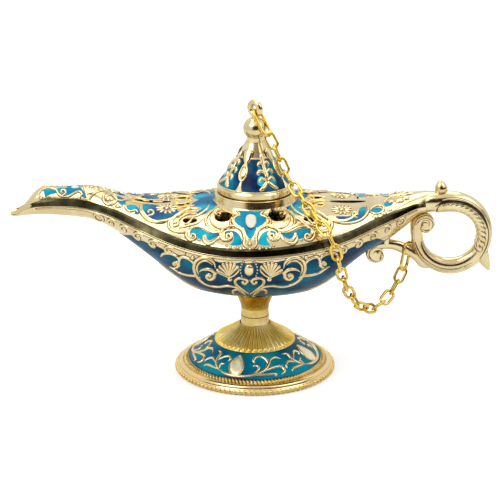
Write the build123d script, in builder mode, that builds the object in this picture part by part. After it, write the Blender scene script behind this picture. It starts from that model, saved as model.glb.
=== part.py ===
from build123d import *
import os
from math import cos, radians, sin

os.makedirs("parts", exist_ok=True)

# The lamp stands on its foot at z 0, with the axis of foot, bowl mouth and lid on z.
# The spout points to -X, the handle to +X. All sizes are in millimetres.

# Body: a hollow boat shape in two castings that meet at the seam
spout_reach = 102.9
neck_reach = 71.6
body_width = 74.0
seam_height = 61.9
seam_lift = 11.0
crest_rise = 14.4
keel_drop = 25.4
body_wall = 1.3
seam_gap = 0.1
overrun = 1.0

# Narrow bore through the spout
spout_bore_radius = 1.1
spout_bore_rise = 1.6
spout_bore_length = 18.0
spout_bore_slope = 0.12

# Foot: a hollow cast disc with a boss that takes the long screw
foot_radius = 33.7
foot_rim_height = 5.2
foot_rim_round = 0.8
foot_edge_height = 2.8
rest_width = 3.0
band_outer_radius = 28.4
band_inner_radius = 17.0
band_inner_height = 12.8
band_bulge = 0.3
flute_step = 0.5
flute_top_radius = 6.3
flute_top_height = 20.3
flute_count = 44
flute_fill_share = 0.92
flute_sink = 0.3
foot_wall = 1.8
boss_bottom = 4.6
recess_radius = 4.6
recess_height = 8.4

# Stem: cast on the bowl, with a spigot that centres it in the foot
joint_height = 24.3
stem_radius = 5.95
stem_waist_rise = 3.2
stem_waist_radius = 5.75
stem_flare_radius = 10.1
stem_merge = 2.0
spigot_radius = 4.6
spigot_depth = 1.5
spigot_play = 0.1

# Long screw that holds foot and bowl together
screw_radius = 2.0
thread_play = 0.05
screw_play = 0.25
screw_cover = 4.0
screw_bore_spare = 1.0
head_radius = 3.5
head_height = 2.4
slot_width = 0.9
slot_depth = 1.0
washer_radius = 4.0
washer_thickness = 0.8

# Mouth of the cover, with the collar pressed into it
collar_top_radius = 16.7
collar_bottom_radius = 17.4
collar_rise = 0.4
collar_height = 3.0
collar_bore_radius = 14.7
collar_sleeve_wall = 0.9
collar_sleeve_depth = 4.0
collar_play = 0.05
collar_round = 0.3
mouth_flare_radius = 23.5
mouth_flare_drop = 4.8

# Raised scrolls cast on the cover; their middle lies a little towards the spout
scroll_half_width = 0.4
scroll_height = 0.5
scroll_middle = -2.0

# Lid: a hollow cone with a brim, a sleeve that centres it, a ball and an eye pin
lid_gap = 0.3
brim_radius = 16.15
brim_height = 2.7
brim_edge_width = 0.4
brim_edge_height = 0.6
lid_wall = 1.2
lid_shoulder_radius = 15.65
cap_radius = 6.8
cap_rise = 15.8
lid_top_radius = 3.95
lid_rise = 21.4
lid_waist_radius = 10.8
lid_waist_rise = 9.4
crown_thickness = 2.4
sleeve_play = 0.3
sleeve_wall = 0.9
sleeve_depth = 4.0
sleeve_seat_depth = 1.8
ball_radius = 5.0
ball_rise = 5.3
ball_foot_radius = 3.6
pin_radius = 1.2
pin_play = 0.05
pin_tail = 1.0
eye_radius = 2.55
eye_wire_radius = 1.35
eye_turn = -41.0
eye_seat = 0.4
nut_flats = 4.6
nut_thickness = 1.8

# Handle: one casting, a ring with a tapering arm and a strut below the body
ring_radius = 14.3
ring_offset = 11.0
ring_top_half_width = 4.5
ring_half_depth = 3.6
tenon_radius = 2.2
tenon_length = 4.5
tenon_play = 0.1
curl_back = 10.9
curl_rise = 3.9
curl_radius = 3.5
curl_half_width = 2.3
curl_depth_share = 0.85
bridge_place_share = 0.45
bridge_depth_share = 1.1
roll_web_radius = 2.9
roll_web_half_depth = 1.5
roll_button_radius = 1.5
roll_button_half_depth = 2.2
strut_half_width = 2.25
strut_flat_share = 0.7
strut_volute_back = 31.0
strut_volute_drop = 8.9
strut_volute_radius = 2.9
saddle_back = 27.0
saddle_radius = 1.7
saddle_drop_share = 0.345
bud_length = 6.2
bud_radius = 2.7
bud_back = 4.0
bud_rise = 17.8
bud_lean = 0.18
leaf_out = 13.4
leaf_drop = 8.8
leaf_heading = -66
leaf_length = 8.2
leaf_root_radius = 3.1
leaf_flat_share = 0.75

# Chain of oval links with a larger oval ring at each end
link_count = 22
link_wire = 0.95
link_width = 4.8
chain_play = 0.15
link_lean = -40
rim_link_count = 10
lid_ring_length = 13.0
lid_ring_width = 5.2
lid_ring_wire = 0.85
lid_ring_heading = (0.442, -0.408, -0.80)
strut_ring_length = 13.2
strut_ring_width = 7.2
strut_ring_wire = 0.95
strut_ring_heading = (-0.188, -0.147, -0.971)
strut_ring_across = (0.5, 0.87, 0)
hang_x_share = -1.235
hang_z_share = -0.528
hang_top_share = 1.38

# Stations along the body, as shares: place, half width, seam lift, crest rise, keel drop
spout_station_shares = [
    (1.000, 0.032, 0.686, 0.046, 0.034),
    (0.951, 0.088, 0.854, 0.102, 0.103),
    (0.919, 0.115, 1.011, 0.247, 0.157),
    (0.886, 0.135, 1.082, 0.439, 0.178),
    (0.820, 0.155, 1.131, 0.466, 0.202),
    (0.722, 0.180, 1.126, 0.500, 0.236),
    (0.646, 0.225, 1.020, 0.536, 0.249),
    (0.560, 0.350, 0.852, 0.431, 0.351),
    (0.475, 0.530, 0.646, 0.433, 0.496),
    (0.379, 0.700, 0.410, 0.563, 0.693),
    (0.261, 0.860, 0.177, 0.784, 0.931),
    (0.130, 0.966, 0.060, 0.940, 1.030),
]
neck_station_shares = [
    (0.000, 1.000, 0.058, 0.947, 1.062),
    (0.192, 0.966, 0.122, 0.885, 1.061),
    (0.378, 0.860, 0.224, 0.742, 0.954),
    (0.548, 0.700, 0.395, 0.577, 0.686),
    (0.687, 0.530, 0.644, 0.425, 0.516),
    (0.808, 0.350, 0.815, 0.417, 0.429),
    (0.916, 0.205, 1.006, 0.383, 0.263),
    (1.000, 0.137, 1.073, 0.391, 0.144),
]
# Half of each section, from the seam to the middle, as shares of half width and height
crest_arch_shares = [(0.955, 0.20), (0.80, 0.56), (0.53, 0.86), (0.25, 0.975)]
keel_arch_shares = [(0.97, 0.25), (0.80, 0.60), (0.50, 0.87), (0.25, 0.968)]
cavity_end_share = 0.92
# Openings round the mouth, as shares of the half body width: place from the middle of the scrolls,
# half length, half width, and the turn
opening_shares = [
    (0.299, 0.510, 0.101, 0.098, 24),
    (0.675, 0.525, 0.084, 0.053, -12),
    (0.757, 0.110, 0.075, 0.043, 20),
    (1.109, 0.000, 0.211, 0.047, 0),
]
# Lines of the scrolls in one quarter of the cover, seen from above, as shares of the half body width
scroll_shares = [
    [(0.114, 0.510), (0.189, 0.590), (0.163, 0.670), (0.070, 0.745)],
    [
        (0.031, 0.940), (0.063, 0.895), (0.059, 0.830), (0.088, 0.745), (0.150, 0.695), (0.211, 0.687),
        (0.277, 0.714), (0.317, 0.776), (0.295, 0.835), (0.241, 0.853), (0.202, 0.824), (0.220, 0.784),
    ],
    [
        (0.317, 0.757), (0.380, 0.758), (0.449, 0.717), (0.525, 0.662), (0.607, 0.645), (0.667, 0.682),
        (0.684, 0.742), (0.643, 0.794),
    ],
    [
        (0.313, 0.372), (0.367, 0.365), (0.408, 0.453), (0.421, 0.564), (0.383, 0.659), (0.308, 0.706),
        (0.229, 0.720),
    ],
    [(0.326, 0.800), (0.352, 0.835), (0.396, 0.861), (0.451, 0.861), (0.488, 0.826), (0.500, 0.779)],
    [
        (0.546, 0.325), (0.664, 0.269), (0.749, 0.338), (0.825, 0.432), (0.880, 0.529), (0.872, 0.616),
        (0.804, 0.671), (0.704, 0.692),
    ],
    [
        (1.228, 0.160), (1.210, 0.316), (1.153, 0.429), (1.074, 0.494), (0.972, 0.509), (0.862, 0.475),
    ],
]
# The chain's route between its end rings: places as shares of neck reach, half body width and eye height
chain_route_shares = [
    (0.116, -0.184, 0.869),
    (0.175, -0.253, 0.786),
    (0.250, -0.415, 0.721),
    (0.325, -0.643, 0.670),
    (0.370, -0.768, 0.643),
    (0.421, -0.855, 0.612),
    (0.456, -0.900, 0.567),
    (0.492, -0.835, 0.475),
    (0.534, -0.702, 0.391),
    (0.599, -0.570, 0.316),
    (0.671, -0.432, 0.281),
    (0.755, -0.271, 0.287),
    (0.821, -0.149, 0.329),
]
# The ring of the handle: angle, and shares of its half thickness and half depth at the top
ring_shares = [
    (84, 1.00, 1.02),
    (62, 0.94, 1.00),
    (40, 0.87, 0.98),
    (18, 0.79, 0.95),
    (-4, 0.75, 0.92),
    (-26, 0.75, 0.90),
    (-48, 0.77, 0.90),
    (-70, 0.79, 0.90),
    (-92, 0.79, 0.88),
    (-114, 0.73, 0.86),
    (-136, 0.66, 0.84),
    (-158, 0.61, 0.82),
    (-179, 0.60, 0.80),
]
# The curl at its end: angle about the curl, and shares of reach and half thickness
curl_shares = [
    (150, 1.02, 1.10),
    (110, 1.10, 0.90),
    (70, 1.05, 0.75),
    (25, 0.80, 0.66),
    (-25, 0.58, 0.58),
]
# The strut: places from the middle of the ring as shares of its radius, heading, and thickness share
strut_shares = [
    (-0.56, -0.94, 150, 1.10),
    (-0.94, -0.72, 147, 1.10),
    (-1.30, -0.49, 152, 1.04),
    (-1.62, -0.36, 166, 1.00),
    (-1.90, -0.33, 184, 0.98),
]
volute_shares = [
    (100, 1.12, 0.86),
    (145, 1.10, 0.78),
    (190, 1.05, 0.72),
    (235, 1.00, 0.68),
    (280, 0.92, 0.64),
    (325, 0.80, 0.58),
]
# The bud: shares of its radius and length. The leaf: shares of its length and root radius
bud_shares = [(0, 0), (1.0, 0.3), (0.75, 0.7), (0, 1.0)]
leaf_shares = [(0, 1.0), (0.6, 0.62), (1.0, 0.19)]

# Places that follow from the sizes above
half_body = body_width / 2
keel_height = seam_height - keel_drop
collar_bottom_height = seam_height + crest_rise + collar_rise
collar_top_height = collar_bottom_height + collar_height
flare_height = collar_bottom_height - mouth_flare_drop
mouth_radius = collar_bore_radius + collar_sleeve_wall + collar_play
stem_waist_height = joint_height + stem_waist_rise
stem_top_height = keel_height + stem_merge
screw_end_height = keel_height - screw_cover
screw_bore_end_height = screw_end_height + screw_bore_spare
washer_bottom = recess_height - washer_thickness
brim_bottom = collar_top_height + lid_gap
brim_top = brim_bottom + brim_height
lid_waist_height = brim_bottom + lid_waist_rise
cap_height = brim_bottom + cap_rise
lid_top_height = brim_bottom + lid_rise
sleeve_radius = collar_bore_radius - sleeve_play
ball_height = lid_top_height + ball_rise
eye_height = ball_height + ball_radius + eye_radius + eye_wire_radius - eye_seat
nut_top = lid_top_height - crown_thickness
pin_end_height = nut_top - nut_thickness - pin_tail


def body_stations():
    """x, half width, seam height, crest rise and keel drop, from the spout tip to the neck"""
    rows = [(-spout_reach * row[0],) + row[1:] for row in spout_station_shares]
    rows += [(neck_reach * row[0],) + row[1:] for row in neck_station_shares]
    return [
        (x, half_body * w, seam_height + seam_lift * s, crest_rise * c, keel_drop * k)
        for x, w, s, c, k in rows
    ]


def arch_points(half, height, shares):
    """points of one arch of a body section, from one seam corner to the other"""
    side = [(half, 0)] + [(half * a, height * b) for a, b in shares]
    return side + [(0, height)] + [(-y, z) for y, z in reversed(side)]


quarters = [(end, side) for end in (-1, 1) for side in (-1, 1)]


def quarter_place(x_share, y_share, end, side):
    """a place on the cover seen from above, in the quarter given by end and side"""
    return (scroll_middle + end * x_share * half_body, side * y_share * half_body)


def station_plane(x, z):
    return Plane(origin=(x, 0, z), x_dir=(0, 1, 0), z_dir=(1, 0, 0))


def half_section(x, half, z, height, shares):
    """the part of a body section above the seam, or below it where height is negative"""
    with BuildSketch(station_plane(x, z)) as section:
        with BuildLine():
            Spline(*arch_points(half, height, shares))
            Line((-half, 0), (half, 0))
        make_face()
    return section.sketch


def cavity_section(x, half, z, rise, drop):
    """a whole section of the hollow inside both castings"""
    with BuildSketch(station_plane(x, z)) as section:
        with BuildLine():
            Spline(*arch_points(half, rise, crest_arch_shares))
            Spline(*arch_points(half, -drop, keel_arch_shares))
        make_face()
    return section.sketch


body_rows = body_stations()
cavity_rows = [
    (x, half - body_wall, seam, rise - body_wall, drop - body_wall)
    for x, half, seam, rise, drop in body_rows
    if -spout_reach * cavity_end_share < x < neck_reach * cavity_end_share
]
neck_x, neck_half, neck_seam, neck_rise, neck_drop = body_rows[-1]
neck_middle = neck_seam + (neck_rise - neck_drop) / 2

with BuildPart() as cavity:
    loft(sections=[cavity_section(*row) for row in cavity_rows])

with BuildPart() as hull:
    loft(
        sections=[
            half_section(x, half, seam, -drop, keel_arch_shares) for x, half, seam, rise, drop in body_rows
        ]
    )

# The tenon of the handle sits in a blind hole that both castings share
with BuildPart() as tenon_hole:
    with BuildSketch(station_plane(neck_x + overrun, neck_middle)):
        Circle(tenon_radius + tenon_play)
    extrude(amount=-(tenon_length + tenon_play + overrun))

# The spout pours through a narrow bore that runs out over the lip
with BuildPart() as spout_bore:
    lip = (-spout_reach - overrun, 0, body_rows[0][2] + spout_bore_rise)
    with BuildSketch(Plane(origin=lip, z_dir=(1, 0, spout_bore_slope))):
        Circle(spout_bore_radius)
    extrude(amount=spout_bore_length)

# Bowl: the lower casting, with the stem below it
stem_profile = [
    (0, joint_height - spigot_depth),
    (spigot_radius, joint_height - spigot_depth),
    (spigot_radius, joint_height),
    (stem_radius, joint_height),
    (stem_waist_radius, stem_waist_height),
]
with BuildPart() as bowl:
    add(hull.part)
    with BuildSketch(Plane.XZ):
        with BuildLine():
            Polyline(*stem_profile)
            Spline(
                stem_profile[-1],
                (stem_flare_radius, stem_top_height),
                tangents=[(0, 1), (1, 1)],
            )
            Polyline((stem_flare_radius, stem_top_height), (0, stem_top_height), stem_profile[0])
        make_face()
    revolve(axis=Axis.Z)
    add(cavity.part, mode=Mode.SUBTRACT)
    add(tenon_hole.part, mode=Mode.SUBTRACT)
    add(spout_bore.part, mode=Mode.SUBTRACT)
    with BuildSketch(Plane.XY.offset(joint_height - spigot_depth)):
        Circle(screw_radius + thread_play)
    extrude(amount=screw_bore_end_height - joint_height + spigot_depth, mode=Mode.SUBTRACT)
bowl.part.label = "bowl"
export_step(bowl.part, "parts/bowl.step")

# Scrolls: bands drawn from above, cut off by a surface that lies their height above the cover's
with BuildPart() as scrolls:
    with BuildSketch(Plane.XY.offset(seam_height)):
        for run in scroll_shares:
            for end, side in quarters:
                line = Spline(*[quarter_place(x, y, end, side) for x, y in run])
                trace(line, line_width=2 * scroll_half_width)
    extrude(amount=2 * crest_rise)
    loft(
        sections=[
            half_section(
                x, half + scroll_height, seam + seam_gap, rise - seam_gap + scroll_height, crest_arch_shares
            )
            for x, half, seam, rise, drop in body_rows
        ],
        mode=Mode.INTERSECT,
    )

# Cover: the upper casting, pierced round the mouth
with BuildPart() as cover:
    loft(
        sections=[
            half_section(x, half, seam + seam_gap, rise - seam_gap, crest_arch_shares)
            for x, half, seam, rise, drop in body_rows
        ]
    )
    with BuildSketch(Plane.XZ):
        with BuildLine():
            Line((0, flare_height), (0, collar_bottom_height))
            Line((0, collar_bottom_height), (collar_bottom_radius, collar_bottom_height))
            Spline(
                (collar_bottom_radius, collar_bottom_height),
                (mouth_flare_radius, flare_height),
                tangents=[(1, -2), (2, -1)],
            )
            Line((mouth_flare_radius, flare_height), (0, flare_height))
        make_face()
    revolve(axis=Axis.Z)
    add(scrolls.part)
    add(cavity.part, mode=Mode.SUBTRACT)
    with BuildSketch(Plane.XY.offset(seam_height)):
        Circle(mouth_radius)
    extrude(amount=crest_rise + mouth_flare_drop, mode=Mode.SUBTRACT)
    # openwork in each quarter, so that scent and smoke get out
    with BuildSketch(Plane.XY.offset(seam_height)):
        for x_share, y_share, length_share, width_share, turn in opening_shares:
            for end, side in quarters:
                with Locations(Location(quarter_place(x_share, y_share, end, side), side * end * turn)):
                    Ellipse(length_share * half_body, width_share * half_body)
    extrude(amount=crest_rise + mouth_flare_drop, mode=Mode.SUBTRACT)
    add(tenon_hole.part, mode=Mode.SUBTRACT)
    add(spout_bore.part, mode=Mode.SUBTRACT)
cover.part.label = "cover"
export_step(cover.part, "parts/cover.step")

# Collar: the polished ring round the mouth, pressed into the cover
with BuildPart() as collar:
    with BuildSketch(Plane.XZ):
        with BuildLine():
            Polyline(
                (collar_bore_radius, collar_bottom_height - collar_sleeve_depth),
                (collar_bore_radius + collar_sleeve_wall, collar_bottom_height - collar_sleeve_depth),
                (collar_bore_radius + collar_sleeve_wall, collar_bottom_height),
                (collar_bottom_radius, collar_bottom_height),
                (collar_top_radius, collar_top_height),
                (collar_bore_radius, collar_top_height),
                close=True,
            )
        make_face()
    revolve(axis=Axis.Z)
    top_edges = collar.edges().filter_by(GeomType.CIRCLE).group_by(Axis.Z)[-1]
    fillet(top_edges, collar_round)
collar.part.label = "collar"
export_step(collar.part, "parts/collar.step")

# Foot: a hollow disc that rests on a flat ring
band_outer = (band_outer_radius, foot_rim_height)
band_inner = (band_inner_radius, band_inner_height)
band_middle = (
    (band_outer_radius + band_inner_radius) / 2,
    (foot_rim_height + band_inner_height) / 2 + band_bulge,
)
flute_run = band_inner_radius - flute_top_radius
flute_rise = flute_top_height - band_inner_height - flute_step
flute_length = (flute_run ** 2 + flute_rise ** 2) ** 0.5
flute_end_radius = flute_fill_share * band_inner_radius * sin(radians(180 / flute_count))
flute_start_radius = flute_fill_share * flute_top_radius * sin(radians(180 / flute_count))
flute_slope = (-flute_run, 0, flute_rise)
flute_foot = (
    band_inner_radius - flute_end_radius * flute_fill_share, 0, band_inner_height + flute_step - flute_sink
)
with BuildPart() as flute_solid:
    with Locations(Plane(origin=flute_foot, x_dir=(0, 1, 0), z_dir=flute_slope)):
        Cone(
            flute_end_radius, flute_start_radius, flute_length - flute_end_radius,
            align=(Align.CENTER, Align.CENTER, Align.MIN),
        )
        Sphere(flute_end_radius)
flute = flute_solid.part
with BuildPart() as foot:
    with BuildSketch(Plane.XZ):
        with BuildLine():
            Polyline(
                (0, 0),
                (foot_radius - foot_rim_round, 0),
                (foot_radius, foot_rim_round),
                (foot_radius, foot_edge_height - foot_rim_round),
                (foot_radius - foot_rim_round, foot_edge_height),
                band_outer,
            )
            ThreePointArc(band_outer, band_middle, band_inner)
            Polyline(
                band_inner,
                (band_inner_radius, band_inner_height + flute_step),
                (flute_top_radius, flute_top_height),
                (stem_radius, flute_top_height + flute_step),
                (stem_radius, joint_height),
                (0, joint_height),
                (0, 0),
            )
        make_face()
    revolve(axis=Axis.Z)
    # flutes: slim round cones laid on the slope round the stem, with round outer ends
    add([location * flute for location in PolarLocations(0, flute_count)])
    # the hollow underside, which leaves a boss in the middle
    with BuildSketch(Plane.XZ):
        with BuildLine():
            Polyline(
                (recess_radius + foot_wall, 0),
                (foot_radius - rest_width, 0),
                (band_outer_radius, foot_rim_height - foot_wall),
                (band_inner_radius, band_inner_height - foot_wall),
                (recess_radius + foot_wall, flute_top_height - foot_wall),
                close=True,
            )
        make_face()
    revolve(axis=Axis.Z, mode=Mode.SUBTRACT)
    with BuildSketch(Plane.XY):
        Circle(recess_radius + foot_wall)
    extrude(amount=boss_bottom, mode=Mode.SUBTRACT)
    with BuildSketch(Plane.XY):
        Circle(recess_radius)
    extrude(amount=recess_height, mode=Mode.SUBTRACT)
    with BuildSketch(Plane.XY):
        Circle(screw_radius + screw_play)
    extrude(amount=joint_height, mode=Mode.SUBTRACT)
    with BuildSketch(Plane.XY.offset(joint_height)):
        Circle(spigot_radius + spigot_play)
    extrude(amount=-(spigot_depth + spigot_play), mode=Mode.SUBTRACT)
foot.part.label = "foot"
export_step(foot.part, "parts/foot.step")

# Long screw from below, with its washer
with BuildPart() as washer:
    with BuildSketch(Plane.XY.offset(washer_bottom)):
        Circle(washer_radius)
        Circle(screw_radius + screw_play, mode=Mode.SUBTRACT)
    extrude(amount=washer_thickness)
washer.part.label = "screw_washer"
export_step(washer.part, "parts/screw_washer.step")

with BuildPart() as screw:
    with BuildSketch(Plane.XY.offset(washer_bottom - head_height)):
        Circle(head_radius)
    extrude(amount=head_height)
    with BuildSketch(Plane.XY.offset(washer_bottom)):
        Circle(screw_radius)
    extrude(amount=screw_end_height - washer_bottom)
    with BuildSketch(Plane.XY.offset(washer_bottom - head_height)):
        Rectangle(head_radius * 2, slot_width)
    extrude(amount=slot_depth, mode=Mode.SUBTRACT)
screw.part.label = "foot_screw"
export_step(screw.part, "parts/foot_screw.step")

# Lid: a thin cone, open below, that rests on the collar
with BuildPart() as lid:
    with BuildSketch(Plane.XZ):
        with BuildLine():
            Polyline(
                (0, brim_bottom),
                (brim_radius - brim_edge_width, brim_bottom),
                (brim_radius, brim_bottom + brim_edge_height),
                (brim_radius, brim_top - brim_edge_height),
                (lid_shoulder_radius, brim_top),
            )
            Spline(
                (lid_shoulder_radius, brim_top),
                (lid_waist_radius, lid_waist_height),
                (cap_radius, cap_height),
            )
            Polyline(
                (cap_radius, cap_height),
                (lid_top_radius, lid_top_height),
                (0, lid_top_height),
                (0, brim_bottom),
            )
        make_face()
    revolve(axis=Axis.Z)
    with BuildSketch(Plane.XZ):
        with BuildLine():
            Polyline(
                (0, brim_bottom),
                (sleeve_radius + pin_play, brim_bottom),
                (sleeve_radius + pin_play, brim_bottom + sleeve_seat_depth),
                (sleeve_radius - sleeve_wall, brim_bottom + sleeve_seat_depth),
                (lid_shoulder_radius - 2 * lid_wall, brim_top),
            )
            Spline(
                (lid_shoulder_radius - 2 * lid_wall, brim_top),
                (lid_waist_radius - lid_wall, lid_waist_height),
                (cap_radius - lid_wall, cap_height),
            )
            Polyline(
                (cap_radius - lid_wall, cap_height),
                (lid_top_radius, lid_top_height - crown_thickness),
                (0, lid_top_height - crown_thickness),
                (0, brim_bottom),
            )
        make_face()
    revolve(axis=Axis.Z, mode=Mode.SUBTRACT)
    with BuildSketch(Plane.XY.offset(brim_top)):
        Circle(pin_radius + pin_play)
    extrude(amount=lid_top_height, mode=Mode.SUBTRACT)
lid.part.label = "lid"
export_step(lid.part, "parts/lid.step")

with BuildPart() as lid_sleeve:
    with BuildSketch(Plane.XY.offset(brim_bottom + sleeve_seat_depth)):
        Circle(sleeve_radius)
        Circle(sleeve_radius - sleeve_wall, mode=Mode.SUBTRACT)
    extrude(amount=-(sleeve_seat_depth + sleeve_depth))
lid_sleeve.part.label = "lid_sleeve"
export_step(lid_sleeve.part, "parts/lid_sleeve.step")

# Ball on the lid, held by the eye pin that passes through it
with BuildPart() as ball:
    with BuildSketch(Plane.XY.offset(lid_top_height)):
        Circle(ball_foot_radius)
    extrude(amount=ball_rise)
    with Locations((0, 0, ball_height)):
        Sphere(ball_radius)
    with BuildSketch(Plane.XY.offset(ball_height - 2 * ball_radius)):
        Circle(pin_radius + pin_play)
    extrude(amount=4 * ball_radius, mode=Mode.SUBTRACT)
ball.part.label = "finial_ball"
export_step(ball.part, "parts/finial_ball.step")

eye_plane = Plane(
    origin=(0, 0, eye_height),
    x_dir=(cos(radians(eye_turn)), sin(radians(eye_turn)), 0),
    z_dir=(-sin(radians(eye_turn)), cos(radians(eye_turn)), 0),
)
eye_side = eye_plane.origin + eye_plane.x_dir * eye_radius
with BuildPart() as eye_pin:
    with BuildSketch(Plane(origin=eye_side, x_dir=eye_plane.x_dir, z_dir=eye_plane.y_dir)):
        Circle(eye_wire_radius)
    revolve(axis=Axis(eye_plane.origin, eye_plane.z_dir))
    with BuildSketch(Plane.XY.offset(pin_end_height)):
        Circle(pin_radius)
    extrude(amount=eye_height - eye_radius - pin_end_height)
eye_pin.part.label = "eye_pin"
export_step(eye_pin.part, "parts/eye_pin.step")

with BuildPart() as nut:
    with BuildSketch(Plane.XY.offset(nut_top)):
        RegularPolygon(nut_flats / 2, 6, major_radius=False)
        Circle(pin_radius + pin_play, mode=Mode.SUBTRACT)
    extrude(amount=-nut_thickness)
nut.part.label = "lid_nut"
export_step(nut.part, "parts/lid_nut.step")

# Handle: a ring that grows out of the neck, rolls up in a curl and carries a strut
ring_x = neck_reach + ring_offset
ring_height = neck_middle - ring_radius
ring_centre = (ring_x, ring_height)
curl_centre = (ring_x - curl_back, ring_height + curl_rise)
volute_centre = (ring_x - strut_volute_back, ring_height - strut_volute_drop)
saddle_bottom = ring_height - ring_radius * saddle_drop_share
bud_root = (ring_x - bud_back, 0, ring_height + bud_rise)


def oval_on_path(centre, heading, half, depth_half):
    """an oval section across a path in the XZ plane; heading is the path's angle from +X"""
    ahead = Vector(cos(radians(heading)), 0, sin(radians(heading)))
    across = Vector(-sin(radians(heading)), 0, cos(radians(heading)))
    with BuildSketch(Plane(origin=(centre[0], 0, centre[1]), x_dir=across, z_dir=ahead)) as section:
        Ellipse(half, depth_half)
    return section.sketch


def polar_section(centre, radius, angle, half, depth_half, way):
    """an oval section across a circle about centre; way is -1 for clockwise, 1 for the other way"""
    place = (centre[0] + radius * cos(radians(angle)), centre[1] + radius * sin(radians(angle)))
    return oval_on_path(place, angle + way * 90, half, depth_half)


ring_sections = [
    oval_on_path((neck_x, neck_middle), 0, (neck_rise + neck_drop) / 2, neck_half),
    oval_on_path(
        (neck_x + ring_offset * bridge_place_share, neck_middle),
        0,
        ring_top_half_width,
        ring_half_depth * bridge_depth_share,
    ),
]
ring_sections += [
    polar_section(
        ring_centre,
        ring_radius,
        angle,
        ring_top_half_width * share,
        ring_half_depth * depth_share,
        -1,
    )
    for angle, share, depth_share in ring_shares
]
curl_half_depth = ring_half_depth * curl_depth_share
curl_sections = [
    polar_section(
        curl_centre,
        curl_radius * reach,
        angle,
        curl_half_width * share,
        curl_half_depth * share,
        -1,
    )
    for angle, reach, share in curl_shares
]
strut_half_depth = strut_half_width * strut_flat_share
strut_sections = [
    oval_on_path(
        (ring_x + ring_radius * x, ring_height + ring_radius * z),
        heading,
        strut_half_width * share,
        strut_half_depth * share,
    )
    for x, z, heading, share in strut_shares
]
strut_sections += [
    polar_section(
        volute_centre,
        strut_volute_radius * reach,
        angle,
        strut_half_width * share,
        strut_half_depth * share,
        1,
    )
    for angle, reach, share in volute_shares
]


def leaf_section(along, half):
    """a section of the leaf, so far along it, with its half thickness"""
    place = (
        ring_x + leaf_out + along * cos(radians(leaf_heading)),
        ring_height - leaf_drop + along * sin(radians(leaf_heading)),
    )
    return oval_on_path(place, leaf_heading, half, half * leaf_flat_share)


with BuildPart() as handle:
    loft(sections=ring_sections + curl_sections)
    loft(sections=strut_sections)
    # the webs and buttons that fill the two rolled ends
    for x, z in (curl_centre, volute_centre):
        for radius, half_depth in (
            (roll_web_radius, roll_web_half_depth),
            (roll_button_radius, roll_button_half_depth),
        ):
            with BuildSketch(Plane(origin=(x, 0, z), z_dir=(0, 1, 0))):
                Circle(radius)
            extrude(amount=half_depth, both=True)
    # the saddle by which the strut is fixed under the bowl
    with BuildSketch(Plane.XY.offset(saddle_bottom)):
        with Locations((ring_x - saddle_back, 0)):
            Circle(saddle_radius)
    extrude(amount=seam_height - saddle_bottom)
    add(hull.part, mode=Mode.SUBTRACT)
    # bud on the top of the ring
    with BuildSketch(Plane(origin=bud_root, x_dir=(1, 0, bud_lean), z_dir=(0, -1, 0))):
        with BuildLine():
            Spline(*[(bud_radius * x, bud_length * y) for x, y in bud_shares])
            Line((0, bud_length), (0, 0))
        make_face()
    revolve(axis=Axis(bud_root, (-bud_lean, 0, 1)))
    # leaf that points down from the back of the ring
    loft(sections=[leaf_section(leaf_length * x, leaf_root_radius * half) for x, half in leaf_shares])
    # tenon into the neck
    with BuildSketch(station_plane(neck_x, neck_middle)):
        Circle(tenon_radius)
    extrude(amount=-tenon_length)
handle.part.label = "handle"
export_step(handle.part, "parts/handle.step")

# Chain: a ring in the eye of the lid, a row of links, and a ring round the strut


def oval_ring_plane(start, ahead, across):
    """plane of a wire ring whose long axis runs ahead from start and whose width lies along across"""
    normal = ahead.cross(across).normalized()
    return Plane(origin=start, x_dir=ahead, z_dir=normal)


def wire_ring(plane, first, last, width, wire):
    """a closed wire ring in a plane; first and last are the wire's middle at the two ends along x"""
    bend = (width - wire) / 2
    with BuildPart() as ring:
        with BuildLine(plane):
            near = CenterArc((first + bend, 0), bend, 90, 180)
            far = CenterArc((last - bend, 0), bend, -90, 180)
            Line(near @ 1, far @ 0)
            Line(far @ 1, near @ 0)
        with BuildSketch(Plane(origin=plane.from_local_coords((first, 0, 0)), z_dir=plane.y_dir)):
            Circle(wire / 2)
        sweep()
    return ring.part


# the upper ring lies on the lower outer side of the eye's hole and passes outside the ball
lid_ring_ahead = Vector(*lid_ring_heading).normalized()
hole_room = eye_radius - eye_wire_radius - lid_ring_wire / 2 - chain_play
lid_ring_start = eye_plane.origin + lid_ring_ahead * hole_room
lid_ring_plane = oval_ring_plane(lid_ring_start, lid_ring_ahead, eye_plane.z_dir)
lid_ring_span = lid_ring_length - lid_ring_wire
lid_ring_reach = lid_ring_span - (lid_ring_wire + link_wire) / 4 - chain_play / 2
chain_top = lid_ring_start + lid_ring_ahead * lid_ring_reach

lid_ring = wire_ring(lid_ring_plane, 0, lid_ring_span, lid_ring_width, lid_ring_wire)
lid_ring.label = "lid_ring"
export_step(lid_ring, "parts/lid_ring.step")

# the lower ring hangs over the strut
strut_top = Vector(
    ring_x + ring_radius * hang_x_share,
    0,
    ring_height + ring_radius * hang_z_share + strut_half_width * hang_top_share,
)
strut_ring_ahead = Vector(*strut_ring_heading).normalized()
strut_ring_start = strut_top - strut_ring_ahead * (strut_ring_wire / 2 + chain_play)
strut_ring_plane = oval_ring_plane(strut_ring_start, strut_ring_ahead, Vector(*strut_ring_across))
strut_ring_span = strut_ring_length - strut_ring_wire
strut_ring_reach = strut_ring_span - (strut_ring_wire + link_wire) / 4 - chain_play / 2
chain_foot = strut_ring_start + strut_ring_ahead * strut_ring_reach

strut_ring = wire_ring(strut_ring_plane, 0, strut_ring_span, strut_ring_width, strut_ring_wire)
strut_ring.label = "strut_ring"
export_step(strut_ring, "parts/strut_ring.step")

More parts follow.
